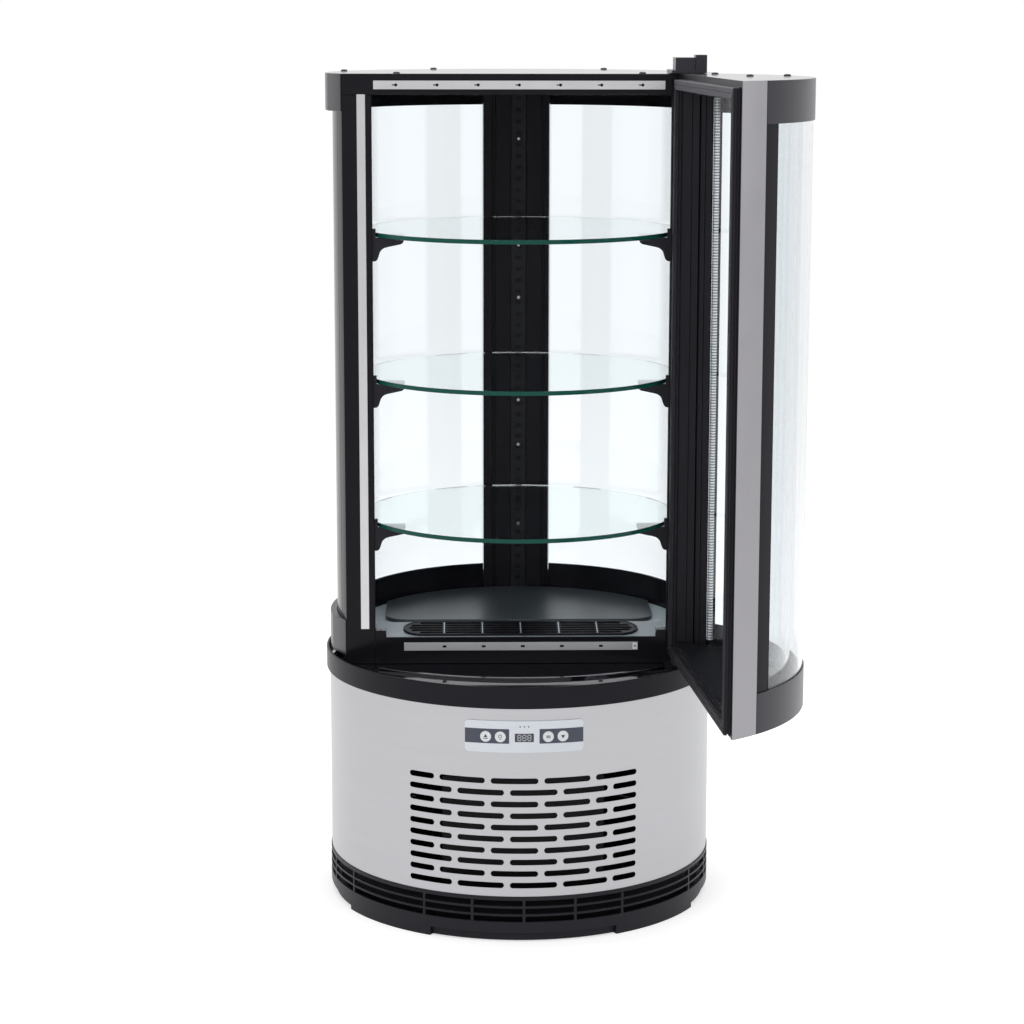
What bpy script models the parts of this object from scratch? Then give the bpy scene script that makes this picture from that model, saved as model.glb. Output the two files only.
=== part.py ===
"""Round countertop cake display case, standing on its counter with the door open. Metres, +Z up.

The origin is on the counter under the centre of the round base, and -Y is the front. An angle
in a plan is measured from the front towards +X.
"""

import math

import bmesh
import bpy
from mathutils import Matrix, Vector

mm = 0.001

for old in list(bpy.data.objects):
    bpy.data.objects.remove(old, do_unlink=True)

# Clearances and counts
gap = 0.3 * mm
overrun = 5 * mm
round_steps = 48
arc_step = math.radians(5)

# Base
foot_height = 10.5 * mm
foot_middle = math.radians(45)
foot_half_angle = math.radians(17)
skirt_inset = 5 * mm
skirt_thick = 3 * mm
skirt_low = 0.8 * mm
base_stand = 1 * mm
base_wall = 3 * mm
base_height = 42.5 * mm
louvre_top = 4.2 * mm
louvre_pitch = 9.3 * mm
louvre_slat = 2.4 * mm
louvre_rows = 3
louvre_columns = 24
louvre_rib = 3 * mm
base_shelf = 16 * mm
base_shelf_thick = 3 * mm
base_lip = 9 * mm
base_lip_thick = 3 * mm
plate_thick = 2 * mm

# Steel wrap and its vents
shell_radius = 225 * mm
shell_wall = 1.2 * mm
shell_height = 218 * mm
slot_length = 53.5 * mm
slot_height = 6.6 * mm
slot_gap = 6.8 * mm
slot_rows = 10
slot_row_pitch = 13.5 * mm
slot_first_drop = 83.5 * mm
slot_field_half = 136.5 * mm
slot_end_steps = 2

# Rim ring and deck
rim_stand = 4 * mm
rim_wall = 3 * mm
rim_height = 25 * mm
rim_seat = 7 * mm
rim_flange = 3 * mm
deck_thick = 3 * mm
deck_drop = 9.5 * mm
ridge_flatter = 50 * mm
ridge_inset = 66 * mm
ridge_share = 2 / 3
ridge_thick = 5 * mm
ridge_height = 3 * mm

# Glazed case
chord = 75 * mm
case_height = 678.6 * mm
cap_inset = 1 * mm
cap_height = 42 * mm
cap_lift = 10.5 * mm
cap_plate = 12 * mm
cap_neck = 12 * mm
cap_inner_lip = 3 * mm
cap_inner_rise = 13 * mm
post_inset = 8 * mm
post_face = 32.56 * mm
post_flange = 3 * mm
post_depth = 18 * mm
post_flange_angle = math.radians(96)
cap_taper = 30.3 * mm
cap_tip = 1 * mm
cap_overlap = 3 * mm
header_height = 23.5 * mm
pane_inset = 3.8 * mm
pane_cavity = 5.4 * mm
pane_thick = 3.8 * mm
floor_inset = 3.7 * mm

# Rear column and shelf track
column_half = 40.5 * mm
column_depth = 20 * mm
column_channel_half = 9.5 * mm
column_channel_depth = 4 * mm
column_offset = 3 * mm
column_groove_place = 30.5 * mm
column_groove_width = 4 * mm
column_groove_depth = 2.5 * mm
track_thick = 1.5 * mm
track_slot_pitch = 13.9 * mm
track_slot_width = 7 * mm
track_slot_height = 5 * mm
track_end = 8 * mm

# Sill, floor and grille
sill_clear = 0.6 * mm
sill_thick = 4 * mm
sill_front_height = 31.5 * mm
sill_depth = 52 * mm
sill_rise = 6 * mm
ledge_thick = 3 * mm
floor_thick = 30 * mm
floor_step = 6 * mm
duct_half = 118 * mm
duct_front = 66 * mm
duct_back = 32 * mm
tray_thick = 1 * mm
plate_side = 10 * mm
plate_rear = 4.5 * mm
plate_front = 0 * mm
plate_rise = 4.4 * mm
plate_sheet = 1.2 * mm
plate_corner = 28 * mm
grille_end = 20 * mm
grille_width = 46 * mm
grille_thick = 2.6 * mm
grille_rim = 4 * mm
grille_slat = 2 * mm
grille_rows = 5
grille_columns = 6
grille_cross = 2.5 * mm
corner_post_rise = 8 * mm
corner_post = 12.4 * mm

# Strike strips
strip_width = 9.6 * mm
strip_thick = 0.7 * mm
left_strip_off = 11 * mm
right_strip_off = 5.5 * mm
strip_foot = 10.1 * mm
strip_drop = 23 * mm
top_strip_end = 6 * mm
top_strip_drop = 12.5 * mm
top_strip_shift = 3 * mm
sill_strip_end = 21 * mm
sill_strip_rise = 20.6 * mm
strip_hole = 1.8 * mm
top_hole_share = 0.845
top_holes = 7
sill_hole_share = 0.669
sill_holes = 5

# Shelves and brackets
shelf_overhang = 11.5 * mm
shelf_back = 10 * mm
shelf_thick = 5 * mm
shelf_shares = {"top": 0.737, "middle": 0.490, "bottom": 0.244}
bracket_thick = 7 * mm
bracket_reach = 36 * mm
bracket_tall = 27 * mm
bracket_shares = (
    (1, 0.13), (0.97, 0.22), (0.91, 0.275), (0.5, 0.39), (0.38, 0.435), (0.30, 0.51),
    (0.245, 0.61), (0.19, 0.84), (0.16, 0.93), (0.10, 0.99))
bracket_tab = 10 * mm
bracket_tab_width = 4 * mm
bracket_inset = 3 * mm
rear_bracket_reach = 26 * mm
lamp_end = 50 * mm
lamp_width = 18 * mm
lamp_height = 9 * mm
lamp_set_back = 6 * mm

# Door, drawn closed: its arc is flatter than the case
hinge_side = 11 * mm
hinge_ahead = 13 * mm
open_angle = math.radians(94.5)
door_stand = 5 * mm
hinge_inside = 10.16 * mm
door_standoff = 9 * mm
door_depth = 19 * mm
door_lift = 11.1 * mm
door_rise = 1 * mm
door_stile_width = 56.45 * mm
door_nose = 11.5 * mm
door_cap_plate = 20 * mm
door_cap_height = 43 * mm
door_cavity = 10 * mm
door_pane_thick = 3.8 * mm
handle_width = 34.9 * mm
handle_thick = 1.4 * mm
gasket_width = 12 * mm
gasket_side = 17 * mm
gasket_foot = 2.5 * mm
gasket_drop = 6.5 * mm
pin_radius = 3 * mm
pin_length = 12 * mm
pin_clearance = 0.3 * mm

# Hinges
hinge_plate = 3 * mm
hinge_plate_half = 15 * mm
hinge_plate_back = 46 * mm
hinge_boss = 8 * mm
hinge_tab_left = 11.5 * mm
hinge_tab_right = 24 * mm
hinge_tab_height = 17 * mm
hinge_tab_depth = 26 * mm
hinge_cover_half = 11 * mm
hinge_cover_back = 24 * mm
hinge_cover_height = 14 * mm
hinge_low_plate_front = 15 * mm

# Control panel
panel_half_angle = math.radians(17.06)
panel_drop = 50.1 * mm
panel_height = 36.2 * mm
panel_thick = 1 * mm
panel_body_angle = math.radians(14.5)
panel_body_rise = 5.8 * mm
panel_body_height = 26 * mm
panel_body_depth = 16 * mm
button_rise = 18.1 * mm
button_angles = {"lamp": -10.98, "defrost": -6.8, "set": 6.8, "power": 11.0}
button_radius = 6.1 * mm
button_length = 7 * mm
button_stand = 0.9 * mm
button_travel = 0.7 * mm
display_half = 10.6 * mm
display_rise = 12.2 * mm
display_height = 9.8 * mm
display_depth = 5 * mm

# Cooling unit
compressor_radius = 55 * mm
compressor_room = 86 * mm
compressor_inset = 155 * mm
compressor_share = 0.32
compressor_foot = 8 * mm
compressor_foot_half = 60 * mm
compressor_dome = 18 * mm
condenser_half = 92 * mm
condenser_inset = 47 * mm
condenser_thick = 38 * mm
condenser_room = 53 * mm
shroud_thick = 3 * mm
shroud_depth = 22 * mm
fan_radius = 66 * mm
fan_hub = 15 * mm
fan_depth = 16 * mm
fan_blades = 5
fan_blade_thick = 2 * mm
fan_pitch = math.radians(28)
fan_clearance = 3 * mm
motor_radius = 22 * mm
motor_length = 38 * mm
motor_shaft = 4 * mm
strap_half = 9 * mm
evaporator_half = 104 * mm
evaporator_front = 8 * mm
evaporator_back = 112 * mm
evaporator_height = 72 * mm
evaporator_cheek = 3 * mm
drum_radius = 15 * mm
drum_vanes = 12
drum_vane_thick = 1.6 * mm
drum_core = 6 * mm
drum_shaft = 3 * mm
drum_gap = 4 * mm
drum_drop = 26 * mm
inlet_rise = 26.7 * mm
inlet_flange = 12 * mm
inlet_neck = 8 * mm
inlet_bore = 3.6 * mm
inlet_flange_thick = 4 * mm
inlet_depth = 14 * mm

# Sizes worked out from those above
base_radius = shell_radius + base_stand
rim_radius = shell_radius + rim_stand
ridge_radius = shell_radius + ridge_flatter
ridge_front = shell_radius - ridge_inset
ridge_half_width = shell_radius * ridge_share
cap_radius = shell_radius - cap_inset
post_radius = cap_radius - post_inset
outer_pane_radius = post_radius - pane_inset
inner_pane_radius = outer_pane_radius - pane_thick - pane_cavity
floor_radius = inner_pane_radius - pane_thick - floor_inset
opening_half = math.sqrt(post_radius ** 2 - chord ** 2) - post_face
sill_half = opening_half - corner_post - sill_clear
grille_length = 2 * (sill_half - grille_end)
plate_half = opening_half - plate_side
plate_radius = floor_radius - plate_rear
left_strip_place = opening_half + left_strip_off
right_strip_place = opening_half + right_strip_off
top_strip_half = opening_half - top_strip_end
sill_strip_half = sill_half - sill_strip_end
top_hole_pitch = 2 * top_strip_half * top_hole_share / (top_holes - 1)
sill_hole_pitch = 2 * sill_strip_half * sill_hole_share / (sill_holes - 1)
shelf_radius = opening_half + shelf_overhang
lamp_half = opening_half - lamp_end
hinge_x = opening_half + hinge_side
hinge_y = -chord - hinge_ahead
door_radius = cap_radius + door_stand
door_centre = hinge_y + math.sqrt((door_radius - hinge_inside) ** 2 - hinge_x ** 2)
door_back = chord + door_standoff
gasket_free = opening_half + gasket_side
compressor_height = shell_height - compressor_room
compressor_x = compressor_inset - shell_radius
compressor_y = shell_radius * compressor_share
condenser_front = shell_radius - condenser_inset
condenser_tall = shell_height - condenser_room

# Places worked out from the sizes
base_top = foot_height + base_height
shell_low = base_top + gap
shell_high = shell_low + shell_height
rim_low = shell_high + gap
rim_high = rim_low + rim_height
deck_high = rim_high - deck_drop
deck_low = deck_high - deck_thick
cap_low = deck_high + cap_lift
cap_high = cap_low + cap_height
case_low = deck_high + gap
case_top = case_low + case_height
shelf_levels = {name: case_low + share * case_height for name, share in shelf_shares.items()}
roof_low = case_top - cap_plate
pane_low = cap_low + cap_plate + gap
pane_high = roof_low - gap
post_back = chord - post_depth
inside_front = post_back - gap
lip_inner = post_radius + gap
cap_inner = floor_radius + gap
floor_top = case_low + floor_thick
tray_low = floor_top + gap
tray_top = tray_low + tray_thick
sill_top = case_low + sill_front_height
sill_back = chord - sill_depth
sill_ends = sill_half + corner_post
strip_low = sill_top + strip_foot
strip_high = case_top - strip_drop
top_strip_level = case_top - top_strip_drop
sill_strip_level = case_low + sill_strip_rise
plate_base = foot_height + base_shelf_thick + gap
plate_top = plate_base + plate_thick
works_low = plate_top + gap
column_front = post_radius - column_depth
track_front = column_front + column_channel_depth - gap - track_thick
tilt = math.atan2(sill_rise, sill_depth)
door_low = case_low + door_lift
door_high = case_top + door_rise
gasket_low = door_low + gasket_foot
gasket_high = door_high - gasket_drop
door_outer = door_radius - handle_thick - gap
door_inner_pane = door_outer - door_pane_thick - door_cavity
door_inner = door_outer - door_depth
door_pane_low = door_low + door_cap_plate + gap
door_pane_high = door_high - door_cap_plate - gap
door_reach = door_centre + door_back
door_edge_angle = math.acos(door_reach / door_outer)
door_stile_angle = door_edge_angle - door_stile_width / door_outer
handle_near_angle = door_edge_angle - handle_width / door_radius
front_of_case = chord + gap + strip_thick + gap
fan_middle = works_low + condenser_tall / 2
panel_low = shell_high - panel_drop
panel_body_low = panel_low + panel_body_rise
button_level = panel_low + button_rise
display_low = panel_low + display_rise
inlet_level = shell_low + inlet_rise


def polar(radius, angle, centre=0.0):
    """A point of the plan, from the front towards +X, about a centre on the Y axis."""
    return Vector((radius * math.sin(angle), centre - radius * math.cos(angle)))


def arc(radius, start, end, centre=0.0, step=arc_step):
    """Points along an arc of the plan."""
    steps = max(1, math.ceil(abs(end - start) / step - 1e-6))
    return [polar(radius, start + (end - start) * i / steps, centre) for i in range(steps + 1)]


def band(outer, inner, start, end, centre=0.0, step=arc_step):
    """The outline of a ring sector."""
    return arc(outer, start, end, centre, step) + arc(inner, end, start, centre, step)


def rectangle(x0, x1, y0, y1):
    return [Vector((x0, y0)), Vector((x1, y0)), Vector((x1, y1)), Vector((x0, y1))]


def prism(outline, low, high):
    """A closed solid from an outline in plan."""
    bm = bmesh.new()
    corners = [bm.verts.new((p[0], p[1], low)) for p in outline]
    face = bm.faces.new(corners)
    made = bmesh.ops.extrude_face_region(bm, geom=[face])["geom"]
    top = [v for v in made if isinstance(v, bmesh.types.BMVert)]
    bmesh.ops.translate(bm, verts=top, vec=(0, 0, high - low))
    bmesh.ops.recalc_face_normals(bm, faces=bm.faces)
    return bm


def turned(profile, steps=round_steps):
    """A closed solid of revolution from a closed profile of (radius, height) points."""
    bm = bmesh.new()
    loop = [bm.verts.new((radius, 0, height)) for radius, height in profile]
    edges = [bm.edges.new((loop[i - 1], loop[i])) for i in range(len(loop))]
    bmesh.ops.spin(bm, geom=loop + edges, axis=(0, 0, 1), cent=(0, 0, 0), steps=steps,
                   angle=2 * math.pi, use_merge=True, use_duplicate=False)
    bmesh.ops.recalc_face_normals(bm, faces=bm.faces)
    return bm


def lathe(profile, steps=24):
    """A solid of revolution whose profile starts and ends on the axis."""
    bm = bmesh.new()
    first = bm.verts.new((0, 0, profile[0][1]))
    last = bm.verts.new((0, 0, profile[-1][1]))
    turn = [2 * math.pi * i / steps for i in range(steps)]
    loops = []
    for radius, height in profile[1:-1]:
        loops.append([bm.verts.new((radius * math.cos(a), radius * math.sin(a), height)) for a in turn])
    for i in range(steps):
        j = (i + 1) % steps
        bm.faces.new((first, loops[0][j], loops[0][i]))
        bm.faces.new((last, loops[-1][i], loops[-1][j]))
        for low, high in zip(loops, loops[1:]):
            bm.faces.new((low[i], low[j], high[j], high[i]))
    bmesh.ops.recalc_face_normals(bm, faces=bm.faces)
    return bm


def cylinder(radius, low, high, steps=24):
    return lathe([(0, low), (radius, low), (radius, high), (0, high)], steps)


def box(x0, x1, y0, y1, z0, z1):
    return prism(rectangle(x0, x1, y0, y1), z0, z1)


def moved(bm, matrix):
    bmesh.ops.transform(bm, matrix=matrix, verts=bm.verts)
    return bm


def material(name, colour, roughness, metallic):
    made = bpy.data.materials.new(name)
    made.use_nodes = True
    shader = made.node_tree.nodes["Principled BSDF"]
    shader.inputs["Base Color"].default_value = (*colour, 1)
    shader.inputs["Roughness"].default_value = roughness
    shader.inputs["Metallic"].default_value = metallic
    made.diffuse_color = (*colour, 1)
    return made


def add(name, bm, look, parent=None, location=(0, 0, 0), turn=(0, 0, 0)):
    """One named sub-part from a bmesh and a look of colour, roughness and metallic value."""
    mesh = bpy.data.meshes.new(name)
    bm.to_mesh(mesh)
    bm.free()
    mesh.shade_smooth()
    mesh.set_sharp_from_angle(angle=math.radians(30))
    obj = bpy.data.objects.new(name, mesh)
    mesh.materials.append(material(name, *look))
    bpy.context.scene.collection.objects.link(obj)
    obj.parent = parent
    obj.location = location
    obj.rotation_euler = turn
    return obj


def combine(obj, operation, *pieces):
    """Cuts or joins pieces, given as bmeshes in the object's own space."""
    for count, bm in enumerate(pieces):
        mesh = bpy.data.meshes.new(f"{obj.name}_{operation.lower()}_{count}")
        bm.to_mesh(mesh)
        bm.free()
        tool = bpy.data.objects.new(mesh.name, mesh)
        bpy.context.scene.collection.objects.link(tool)
        tool.hide_render = True
        tool.display_type = "WIRE"
        tool.parent = obj
        modifier = obj.modifiers.new(mesh.name, "BOOLEAN")
        modifier.operation = operation
        modifier.solver = "EXACT"
        modifier.object = tool
    return obj


def cut(obj, *pieces):
    return combine(obj, "DIFFERENCE", *pieces)


def join(obj, *pieces):
    return combine(obj, "UNION", *pieces)


def group(pieces):
    """Several separate closed solids as one bmesh, for one cut."""
    whole = bmesh.new()
    for bm in pieces:
        mesh = bpy.data.meshes.new("piece")
        bm.to_mesh(mesh)
        bm.free()
        whole.from_mesh(mesh)
        bpy.data.meshes.remove(mesh)
    return whole


def empty(name, location, turn=(0, 0, 0)):
    obj = bpy.data.objects.new(name, None)
    bpy.context.scene.collection.objects.link(obj)
    obj.location = location
    obj.rotation_euler = turn
    return obj


black = ((0.018, 0.018, 0.022), 0.5, 0)
gloss_black = ((0.008, 0.008, 0.011), 0.12, 0)
brushed = ((0.62, 0.62, 0.64), 0.32, 1)
dark_brushed = ((0.25, 0.26, 0.28), 0.35, 1)
bright = ((0.7, 0.7, 0.72), 0.25, 1)
rubber = ((0.05, 0.05, 0.055), 0.8, 0)
glass = ((0.86, 0.93, 0.94), 0.03, 0)
shelf_glass = ((0.7, 0.88, 0.86), 0.03, 0)
label = ((0.78, 0.82, 0.88), 0.35, 0)
dark_label = ((0.06, 0.08, 0.1), 0.3, 0)
white = ((0.85, 0.85, 0.83), 0.5, 0)
full_turn = 2 * math.pi


def front_angle(radius, distance):
    """The plan angle at which a circle reaches a distance in front of its centre."""
    return math.acos(distance / radius)


def make_base():
    outer = base_radius
    inner = base_radius - base_wall
    profile = [
        (inner - base_shelf, 0),
        (outer, 0),
        (outer, base_top),
        (outer - base_lip, base_top),
        (outer - base_lip, base_top - base_lip_thick),
        (inner, base_top - base_lip_thick),
        (inner, foot_height + base_shelf_thick),
        (inner - base_shelf, foot_height + base_shelf_thick),
    ]
    ring = add("base_ring", turned(profile), black)
    pitch = full_turn / louvre_columns
    rib = louvre_rib / base_radius / 2
    windows = []
    at = 0
    while at < louvre_columns:
        start = at * pitch
        wide = 2 if abs((start + pitch) % (full_turn / 4) - foot_middle) < pitch / 2 else 1
        for row in range(louvre_rows):
            top = base_top - louvre_top - row * louvre_pitch
            end = start + wide * pitch - rib
            outline = band(outer + overrun, inner - overrun, start + rib, end, 0, pitch / 2)
            windows.append(prism(outline, top - louvre_pitch + louvre_slat, top))
        at += wide
    skirt = outer - skirt_inset
    skirt_top = foot_height + base_shelf_thick / 2
    arches = []
    skirts = []
    for corner in range(4):
        start = foot_middle + foot_half_angle + corner * full_turn / 4
        end = start + full_turn / 4 - 2 * foot_half_angle
        outline = band(outer + overrun, inner - base_shelf - overrun, start, end)
        arches.append(prism(outline, -overrun, foot_height))
        outline = band(skirt, skirt - skirt_thick, start - arc_step / 3, end + arc_step / 3)
        skirts.append(prism(outline, skirt_low, skirt_top))
    cut(ring, group(windows + arches))
    join(ring, group(skirts))
    add("base_plate", cylinder(inner - gap, plate_base, plate_top, round_steps), dark_brushed)


def slot_cutter(start, end, level):
    """A round-ended slot through the wrap, from one arc length to another."""
    half = slot_height / 2
    inner = shell_radius - shell_wall - overrun
    outer = shell_radius + overrun
    quarter = [math.pi / 2 * k / slot_end_steps for k in range(slot_end_steps + 1)]
    places = [(start + half * (1 - math.cos(a)), half * math.sin(a)) for a in quarter]
    places += [(end - half * (1 - math.cos(a)), half * math.sin(a)) for a in reversed(quarter)]
    bm = bmesh.new()
    sides = []
    for radius in (inner, outer):
        upper = []
        lower = []
        for along, rise in places:
            point = polar(radius, along / shell_radius)
            top = bm.verts.new((point.x, point.y, level + rise))
            upper.append(top)
            lower.append(bm.verts.new((point.x, point.y, level - rise)) if rise > 0 else top)
        sides.append((upper, lower))
    for upper, lower in sides:
        for k in range(len(places) - 1):
            corners = [upper[k], upper[k + 1], lower[k + 1], lower[k]]
            bm.faces.new([v for i, v in enumerate(corners) if v not in corners[:i]])
    for one, other in zip(sides[0], sides[1]):
        for k in range(len(places) - 1):
            bm.faces.new((one[k], one[k + 1], other[k + 1], other[k]))
    bmesh.ops.recalc_face_normals(bm, faces=bm.faces)
    return bm


def slot_spans(row):
    """Where the slots of a row start and end: brick pattern, the short one at either end in turn."""
    spans = []
    end = slot_field_half
    while end > -slot_field_half + slot_height:
        start = max(end - slot_length, -slot_field_half)
        spans.append((start, end) if row % 2 == 0 else (-end, -start))
        end = start - slot_gap
    return spans


def make_shell():
    inner = shell_radius - shell_wall
    wall = turned([(inner, shell_low), (shell_radius, shell_low), (shell_radius, shell_high), (inner, shell_high)])
    shell = add("shell", wall, brushed)
    slots = []
    for row in range(slot_rows):
        level = shell_high - slot_first_drop - row * slot_row_pitch
        slots += [slot_cutter(start, end, level) for start, end in slot_spans(row)]
    window = prism(
        band(shell_radius + overrun, inner - overrun, -panel_body_angle, panel_body_angle),
        panel_body_low, panel_body_low + panel_body_height)
    cut(shell, group(slots + [window]))


def make_rim_and_deck():
    wall_inner = rim_radius - rim_wall
    seat_top = deck_low - gap
    profile = [
        (wall_inner - rim_seat, rim_low),
        (rim_radius, rim_low),
        (rim_radius, rim_high),
        (wall_inner, rim_high),
        (wall_inner, seat_top),
        (wall_inner - rim_seat, seat_top),
        (wall_inner - rim_seat, seat_top - rim_flange),
        (wall_inner, seat_top - rim_flange),
        (wall_inner, rim_low + rim_flange),
        (wall_inner - rim_seat, rim_low + rim_flange),
    ]
    add("rim_ring", turned(profile), black)
    disc = cylinder(wall_inner - gap, deck_low, deck_high, round_steps)
    deck = add("deck", disc, gloss_black)
    cut(deck, box(-duct_half, duct_half, -duct_front, -duct_back, deck_low - overrun, deck_high + overrun))
    reach = math.asin(ridge_half_width / ridge_radius)
    ridge = band(ridge_radius, ridge_radius - ridge_thick, -reach, reach, ridge_radius - ridge_front)
    join(deck, prism(ridge, deck_high - deck_thick / 2, deck_high + ridge_height))


def cap_outline():
    """The outer lip of a cap in plan: round the back, each end tapered to a thin edge."""
    start = front_angle(lip_inner, chord)
    taper = front_angle(cap_radius, chord - cap_taper)
    tip = lip_inner * math.sin(start) + cap_tip
    outer = [Vector((tip, -chord))] + arc(cap_radius, taper, full_turn - taper) + [Vector((-tip, -chord))]
    return outer + arc(lip_inner, full_turn - start, start)


def swept(profile, start, end):
    """A closed profile of (radius, height) swept round the back of the case."""
    bm = bmesh.new()
    steps = math.ceil((end - start) / arc_step)
    rings = []
    for k in range(steps + 1):
        angle = start + (end - start) * k / steps
        ring = []
        for radius, height in profile:
            point = polar(radius, angle)
            ring.append(bm.verts.new((point.x, point.y, height)))
        rings.append(ring)
    for one, other in zip(rings, rings[1:]):
        for k in range(len(profile)):
            bm.faces.new((one[k - 1], one[k], other[k], other[k - 1]))
    bm.faces.new(rings[0])
    bm.faces.new(rings[-1])
    bmesh.ops.recalc_face_normals(bm, faces=bm.faces)
    return bm


def make_caps():
    inside = post_radius + cap_overlap
    start = front_angle(inside, inside_front)
    neck = cap_inner + cap_neck - cap_inner_lip
    wall = cap_inner + cap_inner_lip
    profile = [
        (cap_inner, case_low),
        (neck, case_low),
        (neck, cap_low),
        (inside, cap_low),
        (inside, pane_low - gap),
        (wall, pane_low - gap),
        (wall, cap_high + cap_inner_rise),
        (cap_inner, cap_high + cap_inner_rise),
    ]
    low = add("bottom_cap", prism(cap_outline(), cap_low, cap_high), black)
    join(low, swept(profile, start, full_turn - start))
    half = column_half + gap
    top = cap_high + cap_inner_rise + overrun
    cut(low, box(-half, half, column_front - column_channel_depth, post_radius, pane_low - gap, top))
    high = add("top_cap", prism(cap_outline(), case_top - cap_height, case_top), black)
    join(high, prism(arc(inside, start, full_turn - start), roof_low, case_top))


def make_posts():
    for name, side in (("left_post", -1), ("right_post", 1)):
        back = front_angle(post_radius, post_back)
        inner = post_radius - post_flange
        outline = [Vector((opening_half, -chord))] + arc(post_radius, front_angle(post_radius, chord), back)
        outline += arc(post_radius, back, post_flange_angle)[1:]
        outline += arc(inner, post_flange_angle, front_angle(inner, post_back))
        outline += [Vector((opening_half, -post_back))]
        outline = [Vector((side * p.x, p.y)) for p in outline]
        post = add(name, prism(outline, case_low, case_top), gloss_black)
        reach = (opening_half, post_radius + overrun)
        x0, x1 = sorted(side * x for x in reach)
        behind = math.cos(post_flange_angle) * post_radius
        ends = [
            box(x0, x1, -post_back, -behind + overrun, case_low - overrun, pane_low),
            box(x0, x1, -post_back, -behind + overrun, pane_high, case_top + overrun),
        ]
        cut(post, group(ends))
    half = opening_half - gap
    add("header", box(-half, half, -chord, -post_back, case_top - header_height, case_top), gloss_black)


def make_column():
    half = column_half
    front = column_front
    channel = [
        (column_offset + column_channel_half, 0),
        (column_offset + column_channel_half, column_channel_depth),
        (column_offset - column_channel_half, column_channel_depth),
        (column_offset - column_channel_half, 0),
    ]
    outline = arc(post_radius, math.pi - math.asin(half / post_radius), math.pi + math.asin(half / post_radius))
    outline += [Vector((-half, front))]
    for place in (column_offset - column_groove_place, None, column_offset + column_groove_place):
        if place is None:
            outline += [Vector((x, front + y)) for x, y in reversed(channel)]
            continue
        x0 = place - column_groove_width / 2
        x1 = place + column_groove_width / 2
        deep = front + column_groove_depth
        outline += [Vector((x0, front)), Vector((x0, deep)), Vector((x1, deep)), Vector((x1, front))]
    outline += [Vector((half, front))]
    add("rear_column", prism(outline, pane_low, pane_high), gloss_black)
    half = column_channel_half - gap
    low = pane_low + track_end
    high = pane_high - track_end
    strip = box(column_offset - half, column_offset + half, track_front, track_front + track_thick, low, high)
    track = add("shelf_track", strip, dark_brushed)
    count = int((high - low - track_slot_height) / track_slot_pitch)
    first = (low + high - (count - 1) * track_slot_pitch) / 2
    slots = []
    for k in range(count):
        level = first + k * track_slot_pitch
        slots.append(box(
            column_offset - track_slot_width / 2, column_offset + track_slot_width / 2,
            track_front - overrun, track_front + track_thick + overrun,
            level - track_slot_height / 2, level + track_slot_height / 2))
    cut(track, group(slots))


def make_glazing():
    for layer, radius in (("outer", outer_pane_radius), ("inner", inner_pane_radius)):
        inner = radius - pane_thick
        start = front_angle(radius, inside_front)
        end = math.pi - math.asin((column_half + gap) / inner)
        for name, a, b in (("right", start, end), ("left", full_turn - end, full_turn - start)):
            add(f"{name}_{layer}_glass", prism(band(radius, inner, a, b), pane_low, pane_high), glass)


def make_floor():
    half = opening_half - gap
    edge = front_angle(floor_radius, inside_front)
    wide = math.sin(edge) * floor_radius
    rear = arc(floor_radius, edge, full_turn - edge)
    front = chord - sill_thick - gap
    step = sill_back - gap
    outline = [Vector((-half, -front)), Vector((half, -front)), Vector((half, -inside_front))] + rear
    outline += [Vector((-half, -inside_front))]
    floor = add("insulated_floor", prism(outline, case_low, floor_top), white)
    step_low = floor_top - floor_step
    cut(floor,
        box(-half, half, -front - overrun, -step, step_low, floor_top + overrun),
        box(-duct_half, duct_half, -duct_front, -duct_back, case_low - overrun, floor_top + overrun))
    outline = [Vector((-half, -step)), Vector((half, -step)), Vector((half, -inside_front))] + rear
    outline += [Vector((-half, -inside_front))]
    add("tray", prism(outline, tray_low, tray_top), bright)
    make_sill(step_low + gap)
    make_floor_plate()


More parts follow.
